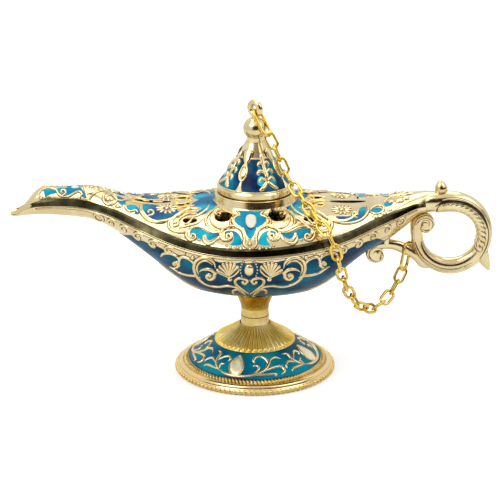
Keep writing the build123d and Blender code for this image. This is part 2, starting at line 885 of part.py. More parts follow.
# the route runs down past the lid, over the edge of the cover and in a slack loop back to the strut
with BuildLine() as chain_route:
    Spline(
        chain_top,
        *[(neck_reach * x, half_body * y, eye_height * z) for x, y, z in chain_route_shares],
        chain_foot,
    )
route = chain_route.edges()[0]
link_ends = [route.position_at(number / link_count) for number in range(link_count + 1)]
pitch = route.length / link_count
hang_reach = chain_foot - link_ends[rim_link_count]
hang_normal = Vector(hang_reach.Y, -hang_reach.X, 0).normalized()
half_span = (pitch + link_wire + chain_play) / 2
with BuildPart() as chain:
    for number in range(link_count):
        ahead = (link_ends[number + 1] - link_ends[number]).normalized()
        middle = (link_ends[number + 1] + link_ends[number]) / 2
        across = hang_normal.cross(ahead).normalized()
        upright = ahead.cross(across).normalized()
        turn = radians(link_lean + 90 * ((number + 1) % 2))
        side = across * cos(turn) + upright * sin(turn)
        plane = oval_ring_plane(middle, ahead, side)
        add(wire_ring(plane, -half_span, half_span, link_width, link_wire))
chain.part.label = "chain"
export_step(chain.part, "parts/chain.step")
print("chain pitch", round(pitch, 3), "links", len(chain.part.solids()))
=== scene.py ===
import math
from functools import partial

import bpy
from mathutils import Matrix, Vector
from mathutils.bvhtree import BVHTree
from mathutils.geometry import delaunay_2d_cdt


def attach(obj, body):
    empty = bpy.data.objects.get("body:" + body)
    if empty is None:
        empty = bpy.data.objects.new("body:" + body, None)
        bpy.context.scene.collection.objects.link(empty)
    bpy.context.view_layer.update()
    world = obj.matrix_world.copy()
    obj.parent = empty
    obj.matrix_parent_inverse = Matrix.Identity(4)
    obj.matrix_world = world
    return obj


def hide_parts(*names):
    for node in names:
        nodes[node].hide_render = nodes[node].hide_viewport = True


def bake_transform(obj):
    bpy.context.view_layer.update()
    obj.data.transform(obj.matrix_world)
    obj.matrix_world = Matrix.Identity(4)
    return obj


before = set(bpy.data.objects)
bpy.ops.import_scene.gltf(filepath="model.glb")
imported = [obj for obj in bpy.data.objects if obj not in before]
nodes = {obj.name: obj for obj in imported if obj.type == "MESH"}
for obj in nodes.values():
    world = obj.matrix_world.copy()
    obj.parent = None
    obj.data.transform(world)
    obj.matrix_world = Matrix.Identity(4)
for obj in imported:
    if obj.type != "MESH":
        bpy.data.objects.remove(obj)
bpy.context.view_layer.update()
MM = 0.001
GOLD_SLOT = "champagne_gold"

# The camera stands where the photograph was taken from
CAMERA = Vector((-2.1, -944.4, 381.9)) * MM
PITCH = math.radians(19.2)
FOCAL_PIXELS = 2360.0
FRAME_PIXELS = 500.0
AHEAD = Vector((0, math.cos(PITCH), -math.sin(PITCH)))
ABOVE = Vector((0, math.sin(PITCH), math.cos(PITCH)))
ACROSS = Vector((1, 0, 0))
BACKWARD = Vector((0, 1, 0))


# Materials

def new_material(name):
    material = bpy.data.materials.new(name)
    material.use_nodes = True
    tree = material.node_tree
    return material, tree, tree.nodes["Principled BSDF"]


def noise(tree, scale, detail=3.0, stretch=(1, 1, 1)):
    """noise on the object's own coordinates; scale is in turns per metre"""
    place = tree.nodes.new("ShaderNodeTexCoord")
    mapping = tree.nodes.new("ShaderNodeMapping")
    mapping.inputs["Scale"].default_value = stretch
    tree.links.new(place.outputs["Object"], mapping.inputs["Vector"])
    texture = tree.nodes.new("ShaderNodeTexNoise")
    texture.inputs["Scale"].default_value = scale
    texture.inputs["Detail"].default_value = detail
    tree.links.new(mapping.outputs["Vector"], texture.inputs["Vector"])
    return texture.outputs["Fac"]


def ramp(tree, source, stops):
    """colours along a value, as (place, colour) pairs"""
    node = tree.nodes.new("ShaderNodeValToRGB")
    while len(node.color_ramp.elements) < len(stops):
        node.color_ramp.elements.new(0.5)
    for element, (place, colour) in zip(node.color_ramp.elements, stops):
        element.position = place
        element.color = (*colour, 1)
    tree.links.new(source, node.inputs["Fac"])
    return node.outputs["Color"]


def spread(tree, source, start, end, low=0.0, high=1.0, curve="LINEAR"):
    """a value from start to end spread from low to high"""
    node = tree.nodes.new("ShaderNodeMapRange")
    node.interpolation_type = curve
    for name, value in (("From Min", start), ("From Max", end), ("To Min", low), ("To Max", high)):
        node.inputs[name].default_value = value
    tree.links.new(source, node.inputs["Value"])
    return node.outputs["Result"]


def span(tree, source, low, high):
    """a noise's usual range spread from low to high"""
    return spread(tree, source, 0.3, 0.7, low, high)


def sum_of(tree, operation, first, second):
    """a sum on two numbers or sockets; a multiply-add adds 0 and, unlike a product, isn't clamped"""
    node = tree.nodes.new("ShaderNodeMath")
    node.operation = operation
    node.use_clamp = operation in ("MULTIPLY", "MAXIMUM")
    node.inputs[2].default_value = 0.0
    for socket, value in zip(node.inputs, (first, second)):
        if isinstance(value, float):
            socket.default_value = value
        else:
            tree.links.new(value, socket)
    return node.outputs[0]


def bump(tree, shader, source, height):
    """a fine grain; height in metres"""
    node = tree.nodes.new("ShaderNodeBump")
    node.inputs["Strength"].default_value = 1.0
    node.inputs["Distance"].default_value = height
    tree.links.new(source, node.inputs["Height"])
    tree.links.new(node.outputs["Normal"], shader.inputs["Normal"])


METAL_GRAIN, ENAMEL_GRAIN = 0.02 * MM, 0.1 * MM


def metal(name, dark, middle, light, rough):
    material, tree, shader = new_material(name)
    shader.inputs["Metallic"].default_value = 1.0
    tone = noise(tree, 160)
    tree.links.new(ramp(tree, tone, [(0.3, dark), (0.5, middle), (0.7, light)]), shader.inputs["Base Color"])
    tree.links.new(span(tree, noise(tree, 420), rough * 0.8, rough * 1.25), shader.inputs["Roughness"])
    bump(tree, shader, noise(tree, 1400, 2), METAL_GRAIN)
    return material


def enamel(name, deep, middle, bright, scale=90):
    material, tree, shader = new_material(name)
    tone = noise(tree, scale, 4, (1, 1, 1.6))
    tree.links.new(ramp(tree, tone, [(0.36, deep), (0.5, middle), (0.64, bright)]), shader.inputs["Base Color"])
    shader.inputs["Coat Weight"].default_value = 0.08
    shader.inputs["Coat Roughness"].default_value = 0.06
    shader.inputs["Specular IOR Level"].default_value = 0.08
    tree.links.new(span(tree, noise(tree, 500), 0.28, 0.42), shader.inputs["Roughness"])
    bump(tree, shader, noise(tree, 350, 2), ENAMEL_GRAIN)
    return material


gold = metal("champagne_gold", (0.72, 0.57, 0.29), (0.79, 0.65, 0.36), (0.85, 0.72, 0.44), 0.16)
relief_gold = metal("relief_gold", (0.76, 0.60, 0.30), (0.84, 0.69, 0.39), (0.90, 0.78, 0.50), 0.2)
warm_gold = metal("warm_gold", (0.84, 0.55, 0.12), (0.92, 0.65, 0.20), (0.96, 0.76, 0.34), 0.32)
flute_gold = metal("flute_gold", (0.88, 0.58, 0.10), (0.97, 0.71, 0.19), (1.0, 0.82, 0.38), 0.4)
# darker golds that stand in for shade and dark reflections, painted shade: on the stem's shaft, and darkest on the
# flare under the bowl and in the hollows between the flutes
stem_painted_shade_gold = metal("stem_painted_shade_gold", (0.60, 0.37, 0.06), (0.74, 0.52, 0.18), (0.84, 0.67, 0.36), 0.22)
flare_painted_shade_gold = metal("flare_painted_shade_gold", (0.36, 0.19, 0.02), (0.50, 0.31, 0.04), (0.62, 0.42, 0.08), 0.24)
# paler gold for the foot's leaves: a painted highlight
painted_highlight_gold = metal("painted_highlight_gold", (0.90, 0.76, 0.46), (0.96, 0.85, 0.58), (1.0, 0.92, 0.70), 0.5)
# near-black gold: a painted dark reflection on the cover's shoulder and painted shade in the handle's hollow
painted_shade_and_reflection_gold = metal("painted_shade_and_reflection_gold", (0.02, 0.018, 0.008), (0.05, 0.043, 0.02), (0.12, 0.10, 0.05), 0.2)
chain_gold = metal("chain_gold", (0.74, 0.48, 0.06), (0.84, 0.59, 0.12), (0.90, 0.70, 0.24), 0.14)
# dark feet under the raised work: partly the real patina in the hollows, partly painted shade
patina_and_painted_shade = metal("patina_and_painted_shade", (0.10, 0.05, 0.01), (0.15, 0.09, 0.03), (0.22, 0.14, 0.06), 0.45)
patina_and_painted_shade.node_tree.nodes["Principled BSDF"].inputs["Metallic"].default_value = 0.5
steel = metal("steel", (0.34, 0.34, 0.34), (0.45, 0.45, 0.45), (0.55, 0.55, 0.54), 0.35)
turquoise = enamel("turquoise_enamel", (0.0, 0.22, 0.38), (0.0, 0.36, 0.50), (0.0, 0.50, 0.62))
teal = enamel("teal_enamel", (0.0, 0.016, 0.05), (0.0, 0.055, 0.12), (0.0, 0.15, 0.22), 60)
foot_teal = enamel("foot_enamel", (0.0, 0.09, 0.17), (0.0, 0.17, 0.27), (0.0, 0.29, 0.37), 70)
navy = enamel("navy_enamel", (0.0, 0.01, 0.06), (0.0, 0.09, 0.19), (0.0, 0.25, 0.36), 60)
dusk = enamel("dusk_enamel", (0.0, 0.07, 0.22), (0.0, 0.18, 0.32), (0.0, 0.42, 0.56), 80)
cream = enamel("cream_pearl", (0.80, 0.74, 0.58), (0.86, 0.81, 0.67), (0.92, 0.88, 0.76), 120)


WARM_HEIGHT, WARM_FADE = 34 * MM, 6 * MM


def warmed_below(material, height):
    """turns a metal yellower below a height, as the foot and stem are"""
    tree = material.node_tree
    shader = tree.nodes["Principled BSDF"]
    pale = shader.inputs["Base Color"].links[0].from_socket
    place = tree.nodes.new("ShaderNodeTexCoord")
    parts = tree.nodes.new("ShaderNodeSeparateXYZ")
    tree.links.new(place.outputs["Object"], parts.inputs["Vector"])
    share = spread(tree, parts.outputs["Z"], height, height + WARM_FADE)
    mix = tree.nodes.new("ShaderNodeMix")
    mix.data_type = "RGBA"
    mix.inputs["A"].default_value = (0.87, 0.67, 0.34, 1)
    tree.links.new(share, mix.inputs["Factor"])
    tree.links.new(pale, mix.inputs["B"])
    tree.links.new(mix.outputs["Result"], shader.inputs["Base Color"])


warmed_below(gold, WARM_HEIGHT)


def paint(piece, material):
    piece.data.materials.clear()
    piece.data.materials.append(material)


def new_object(name, data):
    thing = bpy.data.objects.new(name, data)
    bpy.context.scene.collection.objects.link(thing)
    return thing


for name, piece in nodes.items():
    material = chain_gold if name in ("chain", "lid_ring", "strut_ring") else gold
    paint(piece, steel if name in ("foot_screw", "screw_washer", "lid_nut") else material)


# Surfaces that the raised work lies on

def surface(node):
    verts = [node.matrix_world @ v.co for v in node.data.vertices]
    return BVHTree.FromPolygons(verts, [tuple(p.vertices) for p in node.data.polygons])


surfaces = {name: surface(nodes[name]) for name in ("bowl", "cover", "foot", "lid", "handle")}


def zoom(u, v, scale):
    """takes a point in a part of the photograph, enlarged from its corner u, v, to a ray from the camera"""
    def ray(x, y):
        right, up = u + x / scale - FRAME_PIXELS / 2, FRAME_PIXELS / 2 - v - y / scale
        return CAMERA, (AHEAD * FOCAL_PIXELS + ACROSS * right + ABOVE * up).normalized()
    return ray


spout_view = zoom(0, 160, 8.711)
front_view = zoom(150, 180, 8.711)
handle_view = zoom(290, 160, 7.467)


def smooth(points, steps=6, closed=False):
    """a smooth run of points through the given ones"""
    count = len(points)
    turns = count if closed else count - 1
    run = []
    for i in range(turns):
        if closed:
            a, b, c, d = (points[(i + k) % count] for k in (-1, 0, 1, 2))
        else:
            a, b, c, d = (points[min(max(i + k, 0), count - 1)] for k in (-1, 0, 1, 2))
        for k in range(steps):
            t = k / steps
            run.append(tuple(
                0.5 * (2 * q + (r - p) * t + (2 * p - 5 * q + 4 * r - s) * t * t
                       + (3 * q - p - 3 * r + s) * t ** 3)
                for p, q, r, s in zip(a, b, c, d)))
    return run if closed else run + [tuple(points[-1])]


def spiral(x, y, turns, flat=1.0):
    """points about a middle, given as pairs of radius and angle in degrees"""
    return [(x + r * math.cos(math.radians(a)), y + r * flat * math.sin(math.radians(a))) for r, a in turns]


def curl(x, y, start, end, turn_from, turn_to, flat=1.0, count=9):
    """points of a rolled end about a middle, from one radius and angle to another; y runs down"""
    last = count - 1
    return spiral(x, y, [(start + (end - start) * k / last, turn_from + (turn_to - turn_from) * k / last)
                         for k in range(count)], flat)


def cast(target, origin, direction):
    """where a ray meets a node, with the normal there that faces the ray's start"""
    place, normal, _, _ = surfaces[target].ray_cast(origin, direction)
    return None if place is None else (place, normal if normal.dot(direction) < 0 else -normal)


def from_front(target, x, z, way=cast):
    """a place on the front of a node, in mm"""
    return way(target, Vector((x, -90, z)) * MM, BACKWARD)


BASE_REACH, BASE_STEP = 0.75 * MM, 2.2 * MM


def cast_base(target, origin, direction):
    """as cast, but on the surface that the casting's own thin raised lines stand on"""
    first = cast(target, origin, direction)
    if first is None:
        return None
    here = (first[0] - origin).dot(direction)
    side = direction.orthogonal().normalized()
    up = direction.cross(side)
    depths, normal = [], first[1].copy()
    for k in range(4):
        offset = (side * math.cos(math.pi * k / 4) + up * math.sin(math.pi * k / 4)) * BASE_REACH
        pair = [cast(target, origin + offset * way, direction) for way in (1, -1)]
        if all(pair):
            depth = ((pair[0][0] + pair[1][0]) / 2 - origin).dot(direction)
            if abs(depth - here) < BASE_STEP:
                depths.append(depth)
                normal += pair[0][1] + pair[1][1]
    if len(depths) > 1:
        here = max(here, sorted(depths)[len(depths) // 2])
    return origin + direction * here, normal.normalized()


class Relief:
    """raised work gathered in one mesh; shade takes a wider dark foot of each ridge and boss, and
    widen is the factor by which its ridges are drawn wider"""

    def __init__(self, shade=None, widen=1.0):
        self.verts, self.faces, self.shade, self.widen = [], [], shade, widen

    def add(self, verts, faces):
        base = len(self.verts)
        self.verts += verts
        self.faces += [tuple(base + i for i in face) for face in faces]

    def tube(self, path, half_widths, height, closed=False):
        """a rounded ridge along places with their normals; sizes in mm"""
        sides, root = 8, 0.35
        count = len(path)
        verts, faces, normals = [], [], []
        for i in range(count):
            near = [path[(i + k) % count][1] if closed else path[min(max(i + k, 0), count - 1)][1]
                    for k in (-2, -1, 0, 1, 2)]
            normals.append(sum(near, Vector()).normalized())
        for i, (place, _) in enumerate(path):
            before = path[(i - 1) % count][0] if closed else path[max(i - 1, 0)][0]
            after = path[(i + 1) % count][0] if closed else path[min(i + 1, count - 1)][0]
            side = (after - before).cross(normals[i]).normalized()
            wide = half_widths[i] * MM
            tall = height * MM * min(1.0, 0.35 + half_widths[i] / max(half_widths) * 0.65)
            for k in range(sides):
                angle = 2 * math.pi * k / sides
                rise = math.sin(angle)
                verts.append(place + side * wide * math.cos(angle)
                             + normals[i] * (rise * tall if rise > 0 else rise * root * MM))
        for i in range(count if closed else count - 1):
            j = (i + 1) % count
            for k in range(sides):
                m = (k + 1) % sides
                faces.append((i * sides + k, i * sides + m, j * sides + m, j * sides + k))
        if not closed:
            faces.append(tuple(range(sides))[::-1])
            faces.append(tuple((count - 1) * sides + k for k in range(sides)))
        self.add(verts, faces)

    def bead(self, place, normal, radius, height=None, ahead=None, long=1.0, rings=5, sides=10, sink=0.25):
        """a bead or oval boss; long stretches it along ahead; sizes in mm"""
        height = radius if height is None else height
        ahead = ahead or normal.orthogonal()
        ahead = (ahead - normal * ahead.dot(normal)).normalized()
        side = normal.cross(ahead)
        verts, faces = [], []
        for ring in range(rings):
            tilt = math.pi / 2 * ring / (rings - 1)
            for k in range(sides):
                angle = 2 * math.pi * k / sides
                verts.append(place
                             + ahead * math.cos(angle) * math.cos(tilt) * radius * long * MM
                             + side * math.sin(angle) * math.cos(tilt) * radius * MM
                             + normal * (math.sin(tilt) * height - sink * (1 if ring == 0 else 0.3)) * MM)
        verts = verts[:-sides] + [place + normal * (height - sink * 0.3) * MM]
        for ring in range(rings - 2):
            for k in range(sides):
                m = (k + 1) % sides
                faces.append((ring * sides + k, ring * sides + m, (ring + 1) * sides + m, (ring + 1) * sides + k))
        last = (rings - 2) * sides
        faces += [(last + k, last + (k + 1) % sides, len(verts) - 1) for k in range(sides)]
        faces.append(tuple(range(sides))[::-1])
        self.add(verts, faces)

    def sheet(self, outline, lay, lift, edge_lift, spacing):
        """a thin filled field; outline in its own flat coordinates, lay puts them on the surface"""
        xs, ys = [p[0] for p in outline], [p[1] for p in outline]
        inner = []
        x = min(xs) + spacing / 2
        while x < max(xs):
            y = min(ys) + spacing / 2
            while y < max(ys):
                if inside((x, y), outline) and clear_of(outline, (x, y), spacing * 0.45):
                    inner.append((x, y))
                y += spacing
            x += spacing
        points = [Vector(p) for p in outline + inner]
        edges = [(i, (i + 1) % len(outline)) for i in range(len(outline))]
        flat, _, triangles, origins, _, _ = delaunay_2d_cdt(points, edges, [], 1, 1e-5)
        rim_count = len(outline)
        order, verts = {}, []
        for i, p in enumerate(flat):
            hit = lay(*p)
            if hit:
                rim = any(o < rim_count for o in origins[i])
                order[i] = len(verts)
                verts.append(hit[0] + hit[1] * (edge_lift if rim else lift) * MM)
        self.add(verts, [tuple(order[i] for i in triangle) for triangle in triangles
                         if all(i in order for i in triangle) and is_centre_inside(flat, triangle, outline)])

    def rings(self, verts, turns):
        """a skin all round the axis, from an equal run of places at each turn"""
        levels = len(verts) // turns
        pairs = [(i * levels + j, (i + 1) % turns * levels + j) for i in range(turns) for j in range(levels - 1)]
        self.add(verts, [(a, b, b + 1, a + 1) for a, b in pairs])

    def make(self, name, body, material, slot=None, mirror=False):
        verts, faces = list(self.verts), list(self.faces)
        if mirror:
            base = len(verts)
            verts += [Vector((v.x, -v.y, v.z)) for v in self.verts]
            faces += [tuple(base + i for i in reversed(face)) for face in self.faces]
        mesh = bpy.data.meshes.new(name)
        mesh.from_pydata(verts, [], faces)
        mesh.validate()
        mesh.shade_smooth()
        mesh.update()
        piece = new_object(name, mesh)
        paint(piece, material)
        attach(piece, body)
        return piece


def inside(point, outline):
    x, y = point
    odd = False
    for (ax, ay), (bx, by) in zip(outline, outline[1:] + outline[:1]):
        if (ay > y) != (by > y) and x < (bx - ax) * (y - ay) / (by - ay) + ax:
            odd = not odd
    return odd


def clear_of(outline, point, gap):
    return all(math.hypot(a[0] - point[0], a[1] - point[1]) > gap for a in outline)


def is_centre_inside(flat, triangle, outline):
    middle = tuple(sum(flat[i][k] for i in triangle) / 3 for k in (0, 1))
    return inside(middle, outline)


def laid(target, view):
    """takes a point in an enlarged part of the photograph to its place on a node"""
    way = cast_base if target == "cover" else cast
    return lambda x, y: way(target, *view(x, y))


SHADE_HEIGHT, SHADE_MORE, BOSS_SHADE_MORE = 0.2, 0.22, 0.25
TAPER = 0.35
SHORTEST, LONGEST = 0.05 * MM, 5 * MM


def ridge(relief, lay, points, width, height, closed=False, steps=6):
    """a ridge through points given as (x, y) or (x, y, share of the width); width and height in mm"""
    run = smooth([p if len(p) == 3 else (*p, 1.0) for p in points], steps, closed)
    path, widths = [], []
    for i, (x, y, share) in enumerate(run):
        hit = lay(x, y)
        if not hit or (path and not SHORTEST < (hit[0] - path[-1][0]).length < LONGEST):
            continue
        along = i / (len(run) - 1)
        ends = 1.0 if closed else min(1.0, TAPER + (1 - TAPER) * min(along, 1 - along) * 8)
        path.append(hit)
        widths.append(width * relief.widen * share * ends)
    if len(path) > 2:
        relief.tube(path, widths, height, closed)
        if relief.shade:
            relief.shade.tube(path, [w + SHADE_MORE for w in widths], SHADE_HEIGHT, closed)


def boss(relief, lay, x, y, radius, height=None, long=1.0, toward=None):
    """a boss at a point, stretched towards another; radius and height in mm"""
    hit = lay(x, y)
    if hit:
        ahead = None
        if toward:
            other = lay(*toward)
            ahead = (other[0] - hit[0]) if other else None
        relief.bead(*hit, radius, height, ahead, long)
        if relief.shade:
            relief.shade.bead(*hit, radius + BOSS_SHADE_MORE, SHADE_HEIGHT, ahead, long)


def field(relief, lay, points, spacing):
    """a field of enamel within points; spacing of its mesh in the points' own measure"""
    relief.sheet(smooth(points, 5, True), lay, 0.16, 0.05, spacing)


def both(points, mirror):
    """the points and their mirror image; mirror is the sum of the x of a point and of its image"""
    return points, [(mirror - p[0], *p[1:]) for p in points]


def ridge_pair(relief, lay, mirror, points, width, height):
    for side in both(points, mirror):
        ridge(relief, lay, side, width, height)


def boss_pair(relief, lay, mirror, x, y, radius):
    for side in (x, mirror - x):
        boss(relief, lay, side, y, radius)


def ring(relief, lay, level, width, height, count, steps):
    """a ridge all round the axis at one level"""
    ridge(relief, lay, [(k * 360 / count, level) for k in range(count)], width, height, True, steps)


def outward(angle):
    """the level direction away from the axis; angle in degrees"""
    return Vector((math.cos(math.radians(angle)), math.sin(math.radians(angle)), 0))


def enamel_band(lay, low, high, turns, levels, lift):
    """a skin all round the axis between two levels, with its two edges let in"""
    band, verts = Relief(), []
    for i in range(turns):
        for j in range(levels + 1):
            place, normal = lay(i * 360 / turns, low + (high - low) * j / levels)
            verts.append(place + normal * (0.02 if j in (0, levels) else lift) * MM)
    band.rings(verts, turns)
    return band


# Cover, front: shield, scrolls and leaves
on_cover = laid("cover", front_view)
shade, cream_shade, cover_blue = Relief(), Relief(), Relief()
cover_gold, cover_cream = Relief(shade, 1.12), Relief(cream_shade)
COVER_MIRROR = 1746
cover_pair = partial(ridge_pair, cover_gold, on_cover, COVER_MIRROR)
cover_bosses = partial(boss_pair, cover_gold, on_cover, COVER_MIRROR)

field(cover_blue, on_cover, [
    (760, 266), (880, 268), (1000, 266), (982, 290), (1010, 318), (1030, 350), (1005, 388), (955, 410),
    (925, 440), (900, 490), (872, 516), (846, 490), (820, 440), (790, 410), (742, 388), (722, 350),
    (745, 318), (778, 290)], 22)
boss(cover_cream, on_cover, 879, 352, 2.45, 0.75, 2.3, (879, 300))
cover_pair([(752, 268), (782, 300), (745, 322), (718, 352), (738, 396), (790, 418), (815, 440)], 0.4, 0.6)
cover_pair([(738, 300), (704, 340), (700, 385), (735, 425)], 0.35, 0.55)
cover_pair([(845, 600, 0.7), (818, 560), (822, 500), (800, 440), (750, 410), (700, 406), (645, 425),
            (612, 470), (628, 515), (672, 526)] + curl(682, 494, 30, 8, 100, -330), 0.55, 0.8)
for side in both([(650, 455), (690, 440), (740, 448), (780, 480), (800, 530), (795, 562), (740, 572), (700, 566),
                  (725, 530), (722, 480), (690, 462), (660, 478)], COVER_MIRROR):
    field(cover_blue, on_cover, side, 18)
for x, y, r in ((668, 572, 0.5), (700, 590, 0.6), (732, 598, 0.55), (764, 590, 0.55), (790, 600, 0.8)):
    cover_bosses(x, y, r)
for y, r in ((516, 0.45), (560, 0.85), (602, 0.6)):
    boss(cover_gold, on_cover, 869, y, r)

# leaves beside the scrolls
for side in both([(345, 490), (338, 455), (380, 424), (440, 424), (500, 452), (560, 468), (612, 458), (575, 498),
                  (520, 524), (486, 512), (466, 480), (448, 512), (420, 514), (398, 470), (368, 478)], COVER_MIRROR):
    field(cover_blue, on_cover, side, 20)
cover_pair([(612, 456, 0.5), (560, 462), (505, 440), (445, 412), (380, 410), (330, 440), (314, 485),
            (345, 524)] + curl(372, 494, 30, 8, 80, -300, 1.0, 8), 0.5, 0.75)
cover_pair([(620, 470, 0.5), (590, 512), (545, 548), (500, 556), (470, 528), (462, 490, 0.5)], 0.6, 0.7)
cover_bosses(428, 522, 0.6)

# frames of the openings beside the shield
cover_pair([(622, 262), (580, 262), (545, 300), (532, 350), (560, 398), (620, 422), (690, 420, 0.5)], 0.45, 0.75)
cover_pair([(560, 262, 0.6), (510, 300), (486, 350), (500, 402), (550, 436), (600, 446, 0.5)], 0.4, 0.6)
cover_pair(curl(596, 296, 34, 8, 300, -120, 0.9), 0.4, 0.7)
cover_pair([(520, 210, 0.5), (500, 250), (450, 290), (380, 330), (330, 380), (300, 380)], 0.5, 0.6)
# frames of the outer openings
cover_pair([(440, 262, 0.5), (350, 252), (280, 280), (215, 320), (165, 370), (168, 420), (220, 450),
            (300, 452), (330, 440, 0.5)], 0.55, 0.8)
cover_pair([(420, 300, 0.5), (350, 296), (290, 316), (250, 350)] + curl(214, 384, 34, 8, -30, 330, 0.8), 0.42, 0.65)
cover_pair([(250, 420, 0.5), (330, 400), (400, 380), (450, 340), (490, 330, 0.5)], 0.6, 0.5)
cover_gold.make("cover_scrolls", "lamp", relief_gold, GOLD_SLOT, True)
cover_blue.make("cover_enamel", "lamp", turquoise, None, True)
cover_cream.make("cover_cabochon", "lamp", cream, None, True)
cream_shade.make("cabochon_edge", "lamp", navy, None, True)

# Cover, spout side: enamel panel, scrolls, rolled leaves and daisy
on_spout = laid("cover", spout_view)
spout_gold, spout_blue, dusk_blue, spout_cream = Relief(shade, 1.15), Relief(), Relief(), Relief()
spout_ridge = partial(ridge, spout_gold, on_spout)
spout_boss = partial(boss, spout_gold, on_spout)
field(spout_blue, on_spout, [(350, 290), (368, 256), (410, 234), (470, 226), (545, 222), (620, 220), (706, 222),
                             (720, 252), (736, 280), (756, 330), (726, 330), (708, 290), (668, 284), (634, 306),
                             (584, 318), (542, 312), (508, 292), (466, 296), (418, 310), (392, 324), (380, 288)], 18)
boss(spout_cream, on_spout, 654, 238, 1.15, 0.7, 1.6, (690, 238))
spout_ridge([(352, 336, 0.7), (338, 300), (372, 262), (430, 250), (486, 262), (512, 300), (545, 316)]
            + curl(548, 280, 30, 8, 80, -280, 0.9, 8), 0.42, 0.7)
spout_ridge([(548, 322, 0.6), (600, 314), (650, 288), (694, 276), (716, 300), (700, 326, 0.7)], 0.42, 0.7)
spout_boss(360, 330, 0.7)
spout_boss(690, 334, 0.6)
# fan of pleats
for x, y in ((728, 224), (768, 216), (812, 218), (856, 228), (898, 246), (930, 266)):
    spout_ridge([(752, 296, 0.5), ((752 + x) / 2, (296 + y) / 2 - 6), (x, y, 1.3)], 0.6, 0.35)
spout_ridge([(784, 346, 0.6), (800, 310), (840, 284), (890, 272), (934, 268, 0.6)], 0.4, 0.6)
# rolled leaf with its drop
spout_ridge([(936, 276, 0.6), (908, 300), (900, 345), (930, 385), (985, 384), (1016, 352),
             (1000, 312), (960, 302), (934, 322, 0.5)], 0.45, 0.7)
spout_boss(958, 340, 1.5, 1.0, 1.3, (1010, 350))
spout_boss(1036, 402, 1.2, 0.9, 1.3, (1080, 410))
spout_ridge([(960, 272, 0.5), (1040, 282), (1100, 310), (1150, 340, 0.5)], 0.45, 0.6)
field(dusk_blue, on_spout, [(990, 306), (1040, 318), (1084, 342), (1096, 376), (1070, 396), (1030, 372),
                            (1024, 340)], 14)
field(dusk_blue, on_spout, [(1104, 398), (1140, 388), (1190, 400), (1214, 436), (1208, 474), (1170, 470),
                            (1180, 440), (1140, 444), (1110, 430)], 14)
spout_ridge([(1100, 384, 0.6), (1096, 420), (1130, 450), (1180, 440), (1200, 460, 0.6)], 0.42, 0.65)
# daisy field
field(dusk_blue, on_spout, [(1232, 396), (1290, 382), (1360, 392), (1440, 400), (1520, 430), (1560, 456),
                            (1480, 502), (1390, 522), (1310, 514), (1250, 470)], 22)
spout_ridge([(1224, 392, 0.6), (1226, 450), (1262, 506), (1320, 538), (1400, 540), (1490, 516),
             (1568, 474), (1640, 420), (1700, 392, 0.5)], 0.55, 0.8)
spout_ridge(curl(1306, 458, 42, 8, 120, -250, 0.75, 10), 0.5, 0.75)


def daisy(relief, lay, x, y, across, deep):
    """twelve petals round a boss; each is a ridge, widest in its middle"""
    for k in range(12):
        petal = spiral(x, y, [(across * reach, k * 30 + 8) for reach in (0.3, 0.65, 1.0)], deep / across)
        ridge(relief, lay, [(*p, share) for p, share in zip(petal, (0.6, 1.0, 0.8))], 0.55, 0.6)
    boss(relief, lay, x, y, 1.0, 0.9)


daisy(spout_gold, on_spout, 1452, 424, 96, 46)
# pierced work on the top, in warmer metal
slot_gold = Relief()
for points in ([(211, 152), (289, 141), (367, 138)], [(211, 180), (300, 174), (367, 186)],
               [(222, 204), (289, 211), (356, 236)]):
    ridge_pair(slot_gold, on_cover, COVER_MIRROR, points, 0.6, 0.45)
for points in ([(1120, 336), (1180, 326), (1230, 338), (1290, 356)], [(1150, 366), (1220, 372), (1300, 378)],
               [(1300, 350), (1360, 362), (1420, 366)]):
    ridge(slot_gold, on_spout, points, 0.6, 0.35)
spout_gold.make("spout_scrolls", "lamp", relief_gold, GOLD_SLOT, True)
spout_blue.make("spout_enamel", "lamp", turquoise, None, True)
spout_cream.make("spout_pearl", "lamp", cream, None, True)
slot_gold.make("spout_slots", "lamp", warm_gold, GOLD_SLOT, True)

# Cover, handle side
on_neck = laid("cover", handle_view)
neck_gold, neck_blue = Relief(shade, 1.15), Relief()
neck_ridge = partial(ridge, neck_gold, on_neck)
field(dusk_blue, on_neck, [(340, 424), (392, 420), (440, 418), (500, 400), (520, 360), (560, 350), (568, 384),
                           (540, 430), (480, 456), (410, 462)], 18)
neck_ridge([(150, 378, 0.5), (220, 400), (300, 446), (370, 470), (440, 474), (510, 458), (560, 424),
            (586, 380), (572, 346, 0.6)], 0.5, 0.8)
neck_ridge(curl(492, 408, 34, 8, 60, 420, 0.75, 10), 0.45, 0.7)
daisy(neck_gold, on_neck, 386, 372, 78, 36)
field(neck_blue, on_neck, [(596, 378), (640, 356), (686, 362), (680, 384), (640, 396)], 14)
neck_ridge([(590, 384, 0.6), (630, 350), (684, 344), (700, 376), (650, 404), (598, 392)], 0.38, 0.6)
field(neck_blue, on_neck, [(696, 346), (716, 314), (756, 306), (770, 330), (730, 350)], 12)
for x, y, r in ((756, 312, 1.0), (818, 306, 1.5), (866, 286, 1.3), (800, 262, 0.9), (900, 246, 1.1), (700, 400, 1.0),
                (640, 424, 1.1), (744, 372, 0.9)):
    boss(neck_gold, on_neck, x, y, r, r * 0.7, 1.4, (x + 40, y - 16))
neck_ridge([(700, 318, 0.5), (750, 280), (820, 258), (900, 238, 0.6)], 0.5, 0.7)
neck_gold.make("neck_scrolls", "lamp", relief_gold, GOLD_SLOT, True)
neck_blue.make("neck_enamel", "lamp", turquoise, None, True)

# Blue ground beside the collar
for side in both([(367, 206), (444, 164), (522, 130), (566, 120), (590, 180), (560, 244), (520, 262), (470, 300),
                  (390, 300), (430, 262), (400, 240)], COVER_MIRROR):
    field(dusk_blue, on_cover, side, 16)
dusk_blue.make("cover_dusk_enamel", "lamp", dusk, None, True)

# Bowl: enamel ground, scrolls, shells and cabochon
SPOUT_END, NECK_END = -60.0, 58.0
seams = {}


